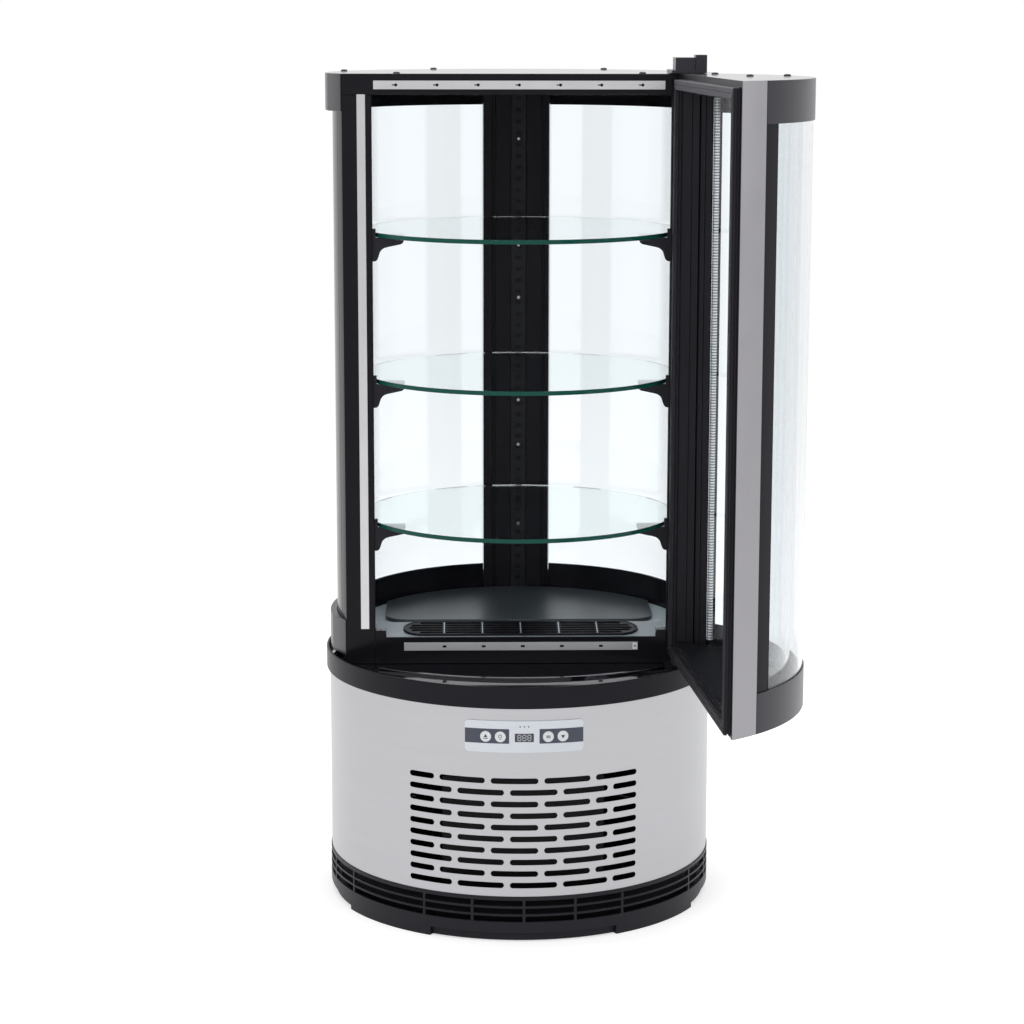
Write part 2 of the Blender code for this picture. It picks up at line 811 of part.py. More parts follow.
def make_sill(leg_low):
    """An upturned U under the sloped ledge, with a corner post at each end."""
    profile = [
        (-chord, case_low),
        (-chord, sill_top),
        (-sill_back, sill_top + sill_rise),
        (-sill_back, leg_low),
        (-sill_back - ledge_thick, leg_low),
        (-sill_back - ledge_thick, sill_top + sill_rise - ledge_thick),
        (-chord + sill_thick, sill_top - ledge_thick),
        (-chord + sill_thick, case_low),
    ]
    along = prism([Vector((z, y)) for y, z in profile], -sill_ends, sill_ends)
    lay = Matrix(((0, 0, 1, 0), (0, 1, 0, 0), (1, 0, 0, 0), (0, 0, 0, 1)))
    moved(along, lay)
    bmesh.ops.recalc_face_normals(along, faces=along.faces)
    sill = add("sill", along, black)
    posts = []
    for side in (-1, 1):
        x0, x1 = sorted((side * sill_half, side * sill_ends))
        top = sill_top + corner_post_rise
        posts.append(box(x0, x1, -chord, -chord + corner_post, sill_top - ledge_thick, top))
    join(sill, group(posts))
    duct = box(-duct_half, duct_half, -duct_front, -duct_back, leg_low, sill_top + sill_rise + overrun)
    cut(sill, duct)
    half = grille_width / 2
    straight = grille_length / 2 - half
    ends = [(straight, math.pi / 2, -math.pi / 2), (-straight, -math.pi / 2, -3 * math.pi / 2)]
    outline = []
    for middle, a, b in ends:
        for k in range(13):
            t = a + (b - a) * k / 12
            outline.append(Vector((middle + half * math.cos(t), half * math.sin(t))))
    middle_y = -(chord + sill_back) / 2
    seat = sill_top + sill_rise / 2 + gap / math.cos(tilt)
    grille = add("air_grille", prism(outline, 0, grille_thick), black,
                 location=(0, middle_y, seat), turn=(tilt, 0, 0))
    inner_half = half - grille_rim
    pitch_y = (2 * inner_half + grille_slat) / grille_rows
    span = 2 * (grille_length / 2 - grille_rim)
    pitch_x = (span + grille_cross) / grille_columns
    holes = []
    for row in range(grille_rows):
        y0 = -inner_half + row * pitch_y
        y1 = y0 + pitch_y - grille_slat
        furthest = max(abs(y0), abs(y1))
        limit = straight + math.sqrt((inner_half) ** 2 - (furthest - grille_slat / 2) ** 2) - grille_slat
        for column in range(grille_columns):
            x0 = max(-span / 2 + column * pitch_x, -limit)
            x1 = min(-span / 2 + (column + 1) * pitch_x - grille_cross, limit)
            holes.append(box(x0, x1, y0, y1, -overrun, grille_thick + overrun))
    cut(grille, group(holes))


def make_floor_plate():
    """The loose plate over the tray, a sheet with a skirt turned down all round."""
    def outline(inset):
        half = plate_half - inset
        corner = plate_corner - inset
        radius = plate_radius - inset
        points = []
        for side in (-1, 1):
            turn = [math.pi / 2 * k / 6 for k in range(7)]
            bend = [Vector((
                side * (half - corner + corner * math.sin(t)),
                plate_front + plate_corner - corner * math.cos(t))) for t in turn]
            points += bend if side > 0 else list(reversed(bend))
        where = math.pi - math.asin(half / radius)
        return points + arc(radius, where, full_turn - where)
    low = tray_top + gap
    top = low + plate_rise
    plate = add("floor_plate", prism(outline(0), low, top), dark_brushed)
    cut(plate, prism(outline(plate_sheet), low - overrun, top - plate_sheet))


def strip(name, x0, x1, z0, z1, holes=()):
    back = -chord - gap
    made = add(name, box(x0, x1, back - strip_thick, back, z0, z1), brushed)
    drills = []
    for x, z in holes:
        drill = cylinder(strip_hole, -overrun, overrun, 8)
        drills.append(moved(drill, Matrix.Translation((x, back, z)) @ Matrix.Rotation(math.pi / 2, 4, "X")))
    if drills:
        cut(made, group(drills))


def row_of_holes(count, pitch, level, shift=0.0):
    return [((k - (count - 1) / 2) * pitch - shift, level) for k in range(count)]


def make_strips():
    half = strip_width / 2
    strip("left_strip", -left_strip_place - half, -left_strip_place + half, strip_low, strip_high)
    strip("right_strip", right_strip_place - half, right_strip_place + half, strip_low, strip_high)
    strip("top_strip", -top_strip_half - top_strip_shift, top_strip_half - top_strip_shift,
          top_strip_level - half, top_strip_level + half,
          row_of_holes(top_holes, top_hole_pitch, top_strip_level, top_strip_shift))
    strip("sill_strip", -sill_strip_half, sill_strip_half, sill_strip_level - half, sill_strip_level + half,
          row_of_holes(sill_holes, sill_hole_pitch, sill_strip_level))


def bracket_outline(reach, tab_width, tab):
    """The side of a shelf bracket: the root at 0, the rest along the top, a hollow underside."""
    points = [Vector((0, tab)), Vector((tab_width, tab)), Vector((tab_width, 0)), Vector((reach, 0))]
    points += [Vector((reach * out, -bracket_tall * down)) for out, down in bracket_shares]
    points.append(Vector((0, -bracket_tall)))
    return points


def make_shelves():
    for name, level in shelf_levels.items():
        disc = cylinder(shelf_radius, 0, shelf_thick, round_steps)
        add(f"shelf_{name}", disc, shelf_glass, location=(0, shelf_back, level - shelf_thick))
        rest = level - shelf_thick - gap
        for side_name, side in (("left", -1), ("right", 1)):
            outline = bracket_outline(bracket_reach, bracket_tab_width, bracket_tab)
            blade = prism(outline, -bracket_thick / 2, bracket_thick / 2)
            upright = Matrix(((-side, 0, 0, 0), (0, 0, 1, 0), (0, 1, 0, 0), (0, 0, 0, 1)))
            moved(blade, upright)
            bmesh.ops.recalc_face_normals(blade, faces=blade.faces)
            place = (side * (opening_half - gap), -chord + bracket_inset + bracket_thick / 2, rest)
            add(f"{side_name}_bracket_{name}", blade, black, location=place)
        root = track_front - gap
        blade = prism(bracket_outline(rear_bracket_reach, 0, 0)[2:], -bracket_thick / 2, bracket_thick / 2)
        upright = Matrix(((0, 0, 1, 0), (-1, 0, 0, 0), (0, 1, 0, 0), (0, 0, 0, 1)))
        moved(blade, upright)
        bmesh.ops.recalc_face_normals(blade, faces=blade.faces)
        add(f"rear_bracket_{name}", blade, black, location=(column_offset, root, rest))


def make_lamp():
    back = -inside_front + lamp_set_back
    lamp = box(-lamp_half, lamp_half, back, back + lamp_width, pane_high - lamp_height, pane_high)
    add("lamp", lamp, white)


def nose_angle(radius):
    """Where a door arc runs into the circle that clears the case as the door turns."""
    arm = math.hypot(hinge_x, door_centre - hinge_y)
    lean = math.atan2(hinge_x, door_centre - hinge_y)
    share = (radius ** 2 + arm ** 2 - door_nose ** 2) / (2 * radius * arm)
    return lean + math.acos(share)


def nose_point():
    off = -door_back - hinge_y
    return Vector((hinge_x + math.sqrt(door_nose ** 2 - off ** 2), -door_back))


def door_cap(name, low, high, board_low, board_high, parent, location):
    radius = door_radius
    outline = arc(door_outer, -door_edge_angle, -handle_near_angle, door_centre)
    outline += arc(radius, -handle_near_angle, nose_angle(radius), door_centre) + [nose_point()]
    cap = add(name, prism(outline, low, high), black, parent, location)
    pocket_low = board_high if board_low == low else low - overrun
    pocket_high = board_low if board_high == high else high + overrun
    pocket = arc(door_outer + gap, -math.radians(75), math.radians(75), door_centre)
    pin = cylinder(pin_radius + pin_clearance, low - overrun, high + overrun)
    moved(pin, Matrix.Translation((hinge_x, hinge_y, 0)))
    cut(cap, prism(pocket, pocket_low, pocket_high), pin)


def make_door():
    axis = empty("door_axis", (hinge_x, hinge_y, 0), (0, 0, open_angle))
    back = (-hinge_x, -hinge_y, 0)
    end = door_stile_angle
    low = door_pane_low
    high = door_pane_high
    outer = arc(door_outer, end, nose_angle(door_outer), door_centre)
    inner = arc(door_inner, front_angle(door_inner, door_reach), end, door_centre)
    add("door_hinge_stile", prism(outer + [nose_point()] + inner, low, high), black, axis, back)
    outer = arc(door_outer, -door_edge_angle, -end, door_centre)
    inner = arc(door_inner, -end, -front_angle(door_inner, door_reach), door_centre)
    add("door_free_stile", prism(outer + inner, low, high), black, axis, back)
    limit = end - gap / (door_inner_pane - door_pane_thick)
    for name, radius in (("outer", door_outer), ("inner", door_inner_pane)):
        outline = band(radius, radius - door_pane_thick, -limit, limit, door_centre)
        add(f"door_{name}_glass", prism(outline, low, high), glass, axis, back)
    start = -door_edge_angle
    near = -handle_near_angle - gap / door_radius
    handle = band(door_radius, door_radius - handle_thick, start, near, door_centre)
    add("door_handle", prism(handle, door_low, door_high), bright, axis, back)
    door_cap("door_bottom_cap", door_low, door_low + door_cap_height,
             door_low, door_low + door_cap_plate, axis, back)
    door_cap("door_top_cap", door_high - door_cap_height, door_high,
             door_high - door_cap_plate, door_high, axis, back)
    right = right_strip_place + strip_width / 2 + (gasket_width - strip_width) / 2
    rear = -front_of_case
    front = -door_back + gap
    seal = add("door_gasket", box(-gasket_free, right, front, rear, gasket_low, gasket_high), rubber, axis, back)
    cut(seal, box(-gasket_free + gasket_width, right - gasket_width, front - overrun, rear + overrun,
                  gasket_low + gasket_width, gasket_high - gasket_width))


def make_hinges():
    low = door_high + gap
    top = low + hinge_plate
    x0 = hinge_x - hinge_plate_half
    x1 = hinge_x + hinge_tab_right
    front = hinge_y - hinge_low_plate_front
    back = -chord + hinge_plate_back
    upper = add("hinge_top", box(x0, x1, front, back, low, top), black)
    seat = box(x0, x1, -chord + gap, back, case_top + gap, low + hinge_plate / 2)
    tab_left = hinge_x + hinge_tab_left
    tab_back = front + hinge_tab_depth
    tab = box(tab_left, x1, front, tab_back, low + hinge_plate / 2, top + hinge_tab_height)
    left = hinge_x - hinge_cover_half
    right = hinge_x + hinge_cover_half
    cover = box(left, right, front, hinge_y + hinge_cover_back, low + hinge_plate / 2, top + hinge_cover_height)
    pin = cylinder(pin_radius, low - pin_length, low + hinge_plate / 2)
    moved(pin, Matrix.Translation((hinge_x, hinge_y, 0)))
    join(upper, seat, tab, cover, pin)
    plate_back = -front_of_case
    base = case_low + hinge_plate
    lower = add("hinge_bottom", box(x0, hinge_x + hinge_plate_half, front, plate_back, case_low, base), black)
    boss = cylinder(hinge_boss, case_low + hinge_plate / 2, door_low - gap)
    moved(boss, Matrix.Translation((hinge_x, hinge_y, 0)))
    pin = cylinder(pin_radius, case_low + hinge_plate / 2, door_low + pin_length)
    moved(pin, Matrix.Translation((hinge_x, hinge_y, 0)))
    join(lower, boss, pin)


def make_controls():
    face = shell_radius + gap + panel_thick
    plate = band(face, shell_radius + gap, -panel_half_angle, panel_half_angle)
    panel = add("control_panel", prism(plate, panel_low, panel_low + panel_height), label)
    inside = panel_body_angle - 2 * gap / shell_radius
    rear = shell_radius - panel_body_depth
    body = band(shell_radius + gap + panel_thick / 2, rear, -inside, inside)
    low = panel_body_low + gap
    high = panel_body_low + panel_body_height - gap
    join(panel, prism(body, low, high))
    top = face + button_stand
    pockets = []
    for angle in button_angles.values():
        pocket = cylinder(button_radius + gap, top - button_length - button_travel - gap, face + overrun)
        pockets.append(moved(pocket, facing(math.radians(angle), button_level)))
    middle = display_low + display_height / 2
    deep = face - display_depth - gap
    recess = box(-display_half - gap, display_half + gap, -face - overrun, -deep,
                 display_low - gap, display_low + display_height + gap)
    cut(panel, group(pockets + [recess]))
    for name, angle in button_angles.items():
        turn = math.radians(angle)
        place = polar(top, turn)
        cap = cylinder(button_radius, 0, button_length)
        moved(cap, Matrix.Rotation(-math.pi / 2, 4, "X"))
        add(f"button_{name}", cap, dark_label, location=(place.x, place.y, button_level), turn=(0, 0, turn))
    window = box(-display_half, display_half, 0, display_depth, -display_height / 2, display_height / 2)
    add("display", window, dark_label, location=(0, -face, middle))


def facing(angle, level):
    """Turns a solid that stands along +Z outwards along a radius of the plan."""
    return (Matrix.Translation((0, 0, level)) @ Matrix.Rotation(angle, 4, "Z")
            @ Matrix.Rotation(math.pi / 2, 4, "X"))


def make_compressor():
    body_low = works_low + compressor_foot
    body_high = works_low + compressor_height
    radius = compressor_radius
    neck = radius - compressor_dome
    profile = [
        (0, body_low - compressor_foot / 2),
        (neck, body_low - compressor_foot / 2),
        (radius, body_low + compressor_dome),
        (radius, body_high - compressor_dome),
        (neck, body_high),
        (0, body_high),
    ]
    half = compressor_foot_half
    pot = add("compressor", box(-half, half, -half, half, works_low, body_low), black,
              location=(compressor_x, compressor_y, 0))
    join(pot, lathe(profile, 36))


def make_condenser():
    rear = -condenser_front + condenser_thick
    half = condenser_half
    top = works_low + condenser_tall
    block = add("condenser", box(-half, half, -condenser_front, rear, works_low, top), dark_brushed)
    ring_back = rear + shroud_depth
    bore = fan_radius + fan_clearance
    into = rear - shroud_thick
    frame = box(-half, half, into, ring_back, works_low, top)
    hole = cylinder(bore, -shroud_depth - overrun, 0, 48)
    forward = Matrix.Rotation(math.pi / 2, 4, "X")
    moved(hole, Matrix.Translation((0, rear, fan_middle)) @ forward)
    strap_low = fan_middle - strap_half
    strap_high = fan_middle + strap_half
    strap = box(-half, half, ring_back - shroud_thick, ring_back, strap_low, strap_high)
    motor = cylinder(motor_radius, ring_back - shroud_thick / 2, ring_back - shroud_thick / 2 + motor_length)
    moved(motor, Matrix.Translation((0, 0, fan_middle)) @ Matrix.Rotation(-math.pi / 2, 4, "X"))
    join(block, frame)
    cut(block, hole)
    join(block, strap, motor)
    hub_back = ring_back - shroud_thick - gap
    blades = []
    for k in range(fan_blades):
        blade = box(fan_hub / 2, fan_radius, -fan_depth / 2, fan_depth / 2,
                    -fan_blade_thick / 2, fan_blade_thick / 2)
        moved(blade, Matrix.Rotation(k * full_turn / fan_blades, 4, "Y") @ Matrix.Rotation(fan_pitch, 4, "X"))
        blades.append(blade)
    hub = cylinder(fan_hub, -fan_depth / 2, fan_depth / 2)
    moved(hub, forward)
    rotor = add("condenser_fan", hub, black, location=(0, hub_back - fan_depth / 2, fan_middle))
    join(rotor, *blades)


def make_evaporator():
    high = deck_low - gap
    low = high - evaporator_height
    half = evaporator_half
    coil = add("evaporator", box(-half, half, evaporator_front, evaporator_back, low, high), bright)
    axle_y = evaporator_front - drum_radius - drum_gap
    axle_z = high - drum_drop
    cheeks = []
    for side in (-1, 1):
        x0, x1 = sorted((side * half, side * (half - evaporator_cheek)))
        cheeks.append(box(x0, x1, axle_y - drum_radius, evaporator_front + evaporator_cheek,
                          axle_z - drum_radius, high))
    join(coil, group(cheeks))
    reach = half - evaporator_cheek - gap
    along = Matrix.Rotation(math.pi / 2, 4, "Y")
    drum = add("evaporator_fan", moved(cylinder(drum_shaft, -reach, reach), along), black,
               location=(0, axle_y, axle_z))
    length = reach - evaporator_cheek
    core = moved(cylinder(drum_core, -length, length), along)
    vanes = []
    for k in range(drum_vanes):
        vane = box(-length, length, drum_core / 2, drum_radius, -drum_vane_thick / 2, drum_vane_thick / 2)
        vanes.append(moved(vane, Matrix.Rotation(k * full_turn / drum_vanes, 4, "X")))
    join(drum, core, *vanes)


def make_inlet():
    """The gland for the supply cord, its bore open to the back."""
    profile = [
        (0, 0),
        (inlet_flange, 0),
        (inlet_flange, inlet_flange_thick),
        (inlet_neck, inlet_flange_thick),
        (inlet_neck, inlet_depth),
        (inlet_bore, inlet_depth),
        (inlet_bore, inlet_flange_thick / 2),
        (0, inlet_flange_thick / 2),
    ]
    gland = moved(lathe(profile), Matrix.Rotation(-math.pi / 2, 4, "X"))
    add("power_inlet", gland, black, location=(0, shell_radius + gap, inlet_level))


make_base()
make_shell()
make_rim_and_deck()
make_caps()
make_posts()
make_column()
make_glazing()
make_floor()
make_strips()
make_shelves()
make_lamp()
make_door()
make_hinges()
make_controls()
make_compressor()
make_condenser()
make_evaporator()
make_inlet()
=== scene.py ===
# Round countertop cake display case, dressed over its CAD frame.
# Shapes are built in millimetres and degrees, +Z up, the front towards -Y; piece() brings them to metres.
# A plan angle runs from the front towards +X.
import math

import bmesh
import bpy
from mathutils import Matrix, Vector


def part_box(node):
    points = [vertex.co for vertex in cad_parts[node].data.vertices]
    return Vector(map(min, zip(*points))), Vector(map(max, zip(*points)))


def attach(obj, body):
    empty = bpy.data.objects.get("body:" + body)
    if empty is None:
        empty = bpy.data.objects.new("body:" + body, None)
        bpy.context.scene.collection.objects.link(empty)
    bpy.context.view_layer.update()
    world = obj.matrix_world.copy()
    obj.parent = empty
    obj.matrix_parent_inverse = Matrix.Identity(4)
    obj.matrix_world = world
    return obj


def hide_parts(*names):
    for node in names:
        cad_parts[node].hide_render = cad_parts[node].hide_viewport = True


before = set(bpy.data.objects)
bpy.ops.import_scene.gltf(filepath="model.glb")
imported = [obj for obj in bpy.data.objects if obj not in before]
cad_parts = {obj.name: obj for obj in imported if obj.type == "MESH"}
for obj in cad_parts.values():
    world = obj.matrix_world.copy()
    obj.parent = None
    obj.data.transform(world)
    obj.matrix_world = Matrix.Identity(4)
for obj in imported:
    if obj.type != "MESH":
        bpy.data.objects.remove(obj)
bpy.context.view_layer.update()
mm = 0.001
gap = 0.3  # what stands on or in another piece is this far off it
over = 5  # how far a cutter runs past what it cuts
sunk = 1  # how far a fixed part reaches into the next one
nearly = 0.01  # what a fully rounded end keeps of its flat
up = Vector((0, 0, 1))


def span(node):
    # lowest and highest corner of a CAD node, in millimetres
    low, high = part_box(node)
    return low / mm, high / mm


def levels(node):
    low, high = span(node)
    return low.z, high.z


class Wire:
    # one output socket of a material, with its sums written as Python
    def __init__(self, look, socket):
        self.look = look
        self.socket = socket

    def sum(self, operation, *values, clamp=False):
        settings = {"operation": operation, "use_clamp": clamp}
        return self.look.node("ShaderNodeMath", settings, dict(enumerate(values)))

    def __add__(self, other):
        return self.sum("ADD", self, other)

    def __radd__(self, other):
        return self.sum("ADD", other, self)

    def __sub__(self, other):
        return self.sum("SUBTRACT", self, other)

    def __rsub__(self, other):
        return self.sum("SUBTRACT", other, self)

    def __mul__(self, other):
        return self.sum("MULTIPLY", self, other)

    def __rmul__(self, other):
        return self.sum("MULTIPLY", other, self)

    def __truediv__(self, other):
        return self.sum("DIVIDE", self, other)

    def __gt__(self, other):
        return self.sum("GREATER_THAN", self, other)

    def __lt__(self, other):
        return self.sum("LESS_THAN", self, other)


class Look:
    # the nodes of one material, or of the world
    def __init__(self, name, owner=None):
        self.owner = owner or bpy.data.materials.new(name)
        self.owner.use_nodes = True
        self.tree = self.owner.node_tree
        self.tree.nodes.clear()

    def node(self, kind, settings=None, sockets=None, output=0):
        made = self.tree.nodes.new(kind)
        for key, value in (settings or {}).items():
            if key == "stops":
                ramp = made.color_ramp.elements
                while len(ramp) < len(value):
                    ramp.new(0.5)
                for stop, (place, colour) in zip(ramp, value):
                    stop.position = place
                    stop.color = colour
            else:
                setattr(made, key, value)
        for key, value in (sockets or {}).items():
            if isinstance(value, Wire):
                self.tree.links.new(value.socket, made.inputs[key])
            else:
                made.inputs[key].default_value = value
        return Wire(self, made.outputs[output]) if made.outputs else None

    def place(self):
        # object coordinates, whole and as three numbers
        spot = self.node("ShaderNodeTexCoord", output=3)
        x = self.node("ShaderNodeSeparateXYZ", None, {0: spot})
        made = x.socket.node
        return spot, x, Wire(self, made.outputs[1]), Wire(self, made.outputs[2])

    def vector(self, x, y, z):
        return self.node("ShaderNodeCombineXYZ", None, {0: x, 1: y, 2: z})

    def noise(self, where, scale, detail=2.0, roughness=0.5):
        return self.node("ShaderNodeTexNoise", None,
                         {"Vector": where, "Scale": scale, "Detail": detail, "Roughness": roughness})

    def blend(self, mask, one, other):
        settings = {"data_type": "RGBA", "clamp_factor": True}
        return self.node("ShaderNodeMix", settings, {0: mask, 6: one, 7: other}, output=2)

    def bump(self, height, strength, distance):
        return self.node("ShaderNodeBump", None,
                         {"Height": height, "Strength": strength, "Distance": distance})

    def shader(self, **sockets):
        named = {key.replace("_", " "): value for key, value in sockets.items()}
        return self.node("ShaderNodeBsdfPrincipled", None, named)

    def finish(self, surface):
        self.node("ShaderNodeOutputMaterial", None, {"Surface": surface})
        return self.owner


def rgb(red, green, blue):
    return (red, green, blue, 1.0)


def shade(colour, share):
    return rgb(*[min(1.0, value * share) for value in colour[:3]])


steel = {
    "wrapLight": rgb(0.495, 0.495, 0.512),
    "wrapDark": rgb(0.405, 0.405, 0.422),
    "stripLight": rgb(0.62, 0.62, 0.63),
    "stripDark": rgb(0.44, 0.44, 0.455),
    "handleLight": rgb(0.345, 0.336, 0.354),
    "handleDark": rgb(0.285, 0.280, 0.297),
}


def wrapSteel():
    # brushing that runs round the drum, finer than half a millimetre
    look = Look("wrapSteel")
    spot, x, y, z = look.place()
    turn = x.sum("ARCTAN2", x, y * -1.0)
    grain = look.noise(look.vector(turn * 6.0, z * 2600.0, 0.0), 1.0, 3.0, 0.6)
    broad = look.noise(look.vector(turn * 1.5, z * 90.0, 0.0), 1.0, 2.0)
    colour = look.blend(grain * 0.7 + broad * 0.3, steel["wrapDark"], steel["wrapLight"])
    return look.finish(look.shader(Base_Color=colour, Metallic=1.0, Roughness=grain * 0.12 + 0.27,
                                   Normal=look.bump(grain, 0.12, 0.00005)))


def brushedSteel(name, light, dark, rough, along="z", metallic=1.0):
    look = Look(name)
    spot, x, y, z = look.place()
    fine, slow = 2400.0, 12.0
    stretch = [slow if axis == along else fine for axis in "xyz"]
    grain = look.noise(look.vector(x * stretch[0], y * stretch[1], z * stretch[2]), 1.0, 2.0, 0.6)
    smear = look.noise(spot, 26.0, 3.0, 0.55)
    colour = look.blend(grain * 0.55 + smear * 0.45, dark, light)
    return look.finish(look.shader(Base_Color=colour, Metallic=metallic,
                                   Roughness=smear * 0.08 + (grain * 0.06 + rough),
                                   Normal=look.bump(grain, 0.06, 0.00004)))


def blackFinish(name, colour, rough, spread, grain, strength, level, coat=0.0):
    # moulded or lacquered black: fine grain in the bump, handling marks in the roughness
    look = Look(name)
    spot, x, y, z = look.place()
    fine = look.noise(spot, grain, 2.0, 0.6)
    marks = look.noise(spot, 14.0, 4.0, 0.6)
    tone = look.blend(marks, shade(colour, 0.8), shade(colour, 1.2))
    return look.finish(look.shader(Base_Color=tone, Roughness=marks * spread + rough,
                                   Normal=look.bump(fine, strength, 0.00008), Specular_IOR_Level=level,
                                   Specular_Tint=rgb(0.93, 0.90, 1.0), Coat_Weight=coat, Coat_Roughness=0.04))


def clearGlass(name, tint, rough=0.0):
    # lamp rays pass straight through, so the floor of the case isn't in shadow
    look = Look(name)
    glassy = look.shader(Base_Color=tint, Roughness=rough, IOR=1.45, Transmission_Weight=1.0)
    through = look.node("ShaderNodeBsdfTransparent", None, {"Color": tint})
    shadow = look.node("ShaderNodeLightPath", output=1)
    return look.finish(look.node("ShaderNodeMixShader", None, {0: shadow, 1: glassy, 2: through}))


def plainFinish(name, light, dark, rough, grain, strength=0.1, metallic=0.0, level=0.5):
    look = Look(name)
    spot, x, y, z = look.place()
    fine = look.noise(spot, grain, 3.0, 0.6)
    broad = look.noise(spot, grain / 40.0, 2.0)
    colour = look.blend(fine * 0.4 + broad * 0.6, dark, light)
    return look.finish(look.shader(Base_Color=colour, Roughness=broad * 0.12 + rough, Metallic=metallic,
                                   Specular_IOR_Level=level, Normal=look.bump(fine, strength, 0.0001)))


def finStack(name, across, pitch, light, dark):
    # a block of thin plates: bright edges, with the gaps between them painted near-black as shade
    look = Look(name)
    spot, x, y, z = look.place()
    axis = {"x": x, "y": y, "z": z}[across]
    wave = axis.sum("FRACT", axis / pitch)
    edge = wave < 0.35
    bright = look.blend(look.noise(spot, 60.0, 3.0), dark, light)
    # painted shade: the gaps between the plates get a near-black colour where the plates shade each other
    colour = look.blend(edge, rgb(0.01, 0.01, 0.012), bright)
    return look.finish(look.shader(Base_Color=colour, Metallic=0.6, Roughness=0.42,
                                   Normal=look.bump(edge, 0.4, 0.0004)))


def spacerBar():
    # dull aluminium spacer with the breather holes of insulating glass; the holes are painted dark as the shade
    # inside them
    look = Look("spacerBar")
    spot, x, y, z = look.place()
    row = z.sum("FRACT", z / (3.2 * mm))
    hole = row < 0.45
    bright = look.blend(look.noise(spot, 300.0, 2.0), rgb(0.80, 0.81, 0.83), rgb(0.88, 0.89, 0.90))
    # painted shade: each breather hole gets a dark grey colour
    colour = look.blend(hole, bright, rgb(0.16, 0.17, 0.19))
    return look.finish(look.shader(Base_Color=colour, Metallic=0.3, Roughness=0.45,
                                   Normal=look.bump(1.0 - hole, 0.5, 0.0003)))


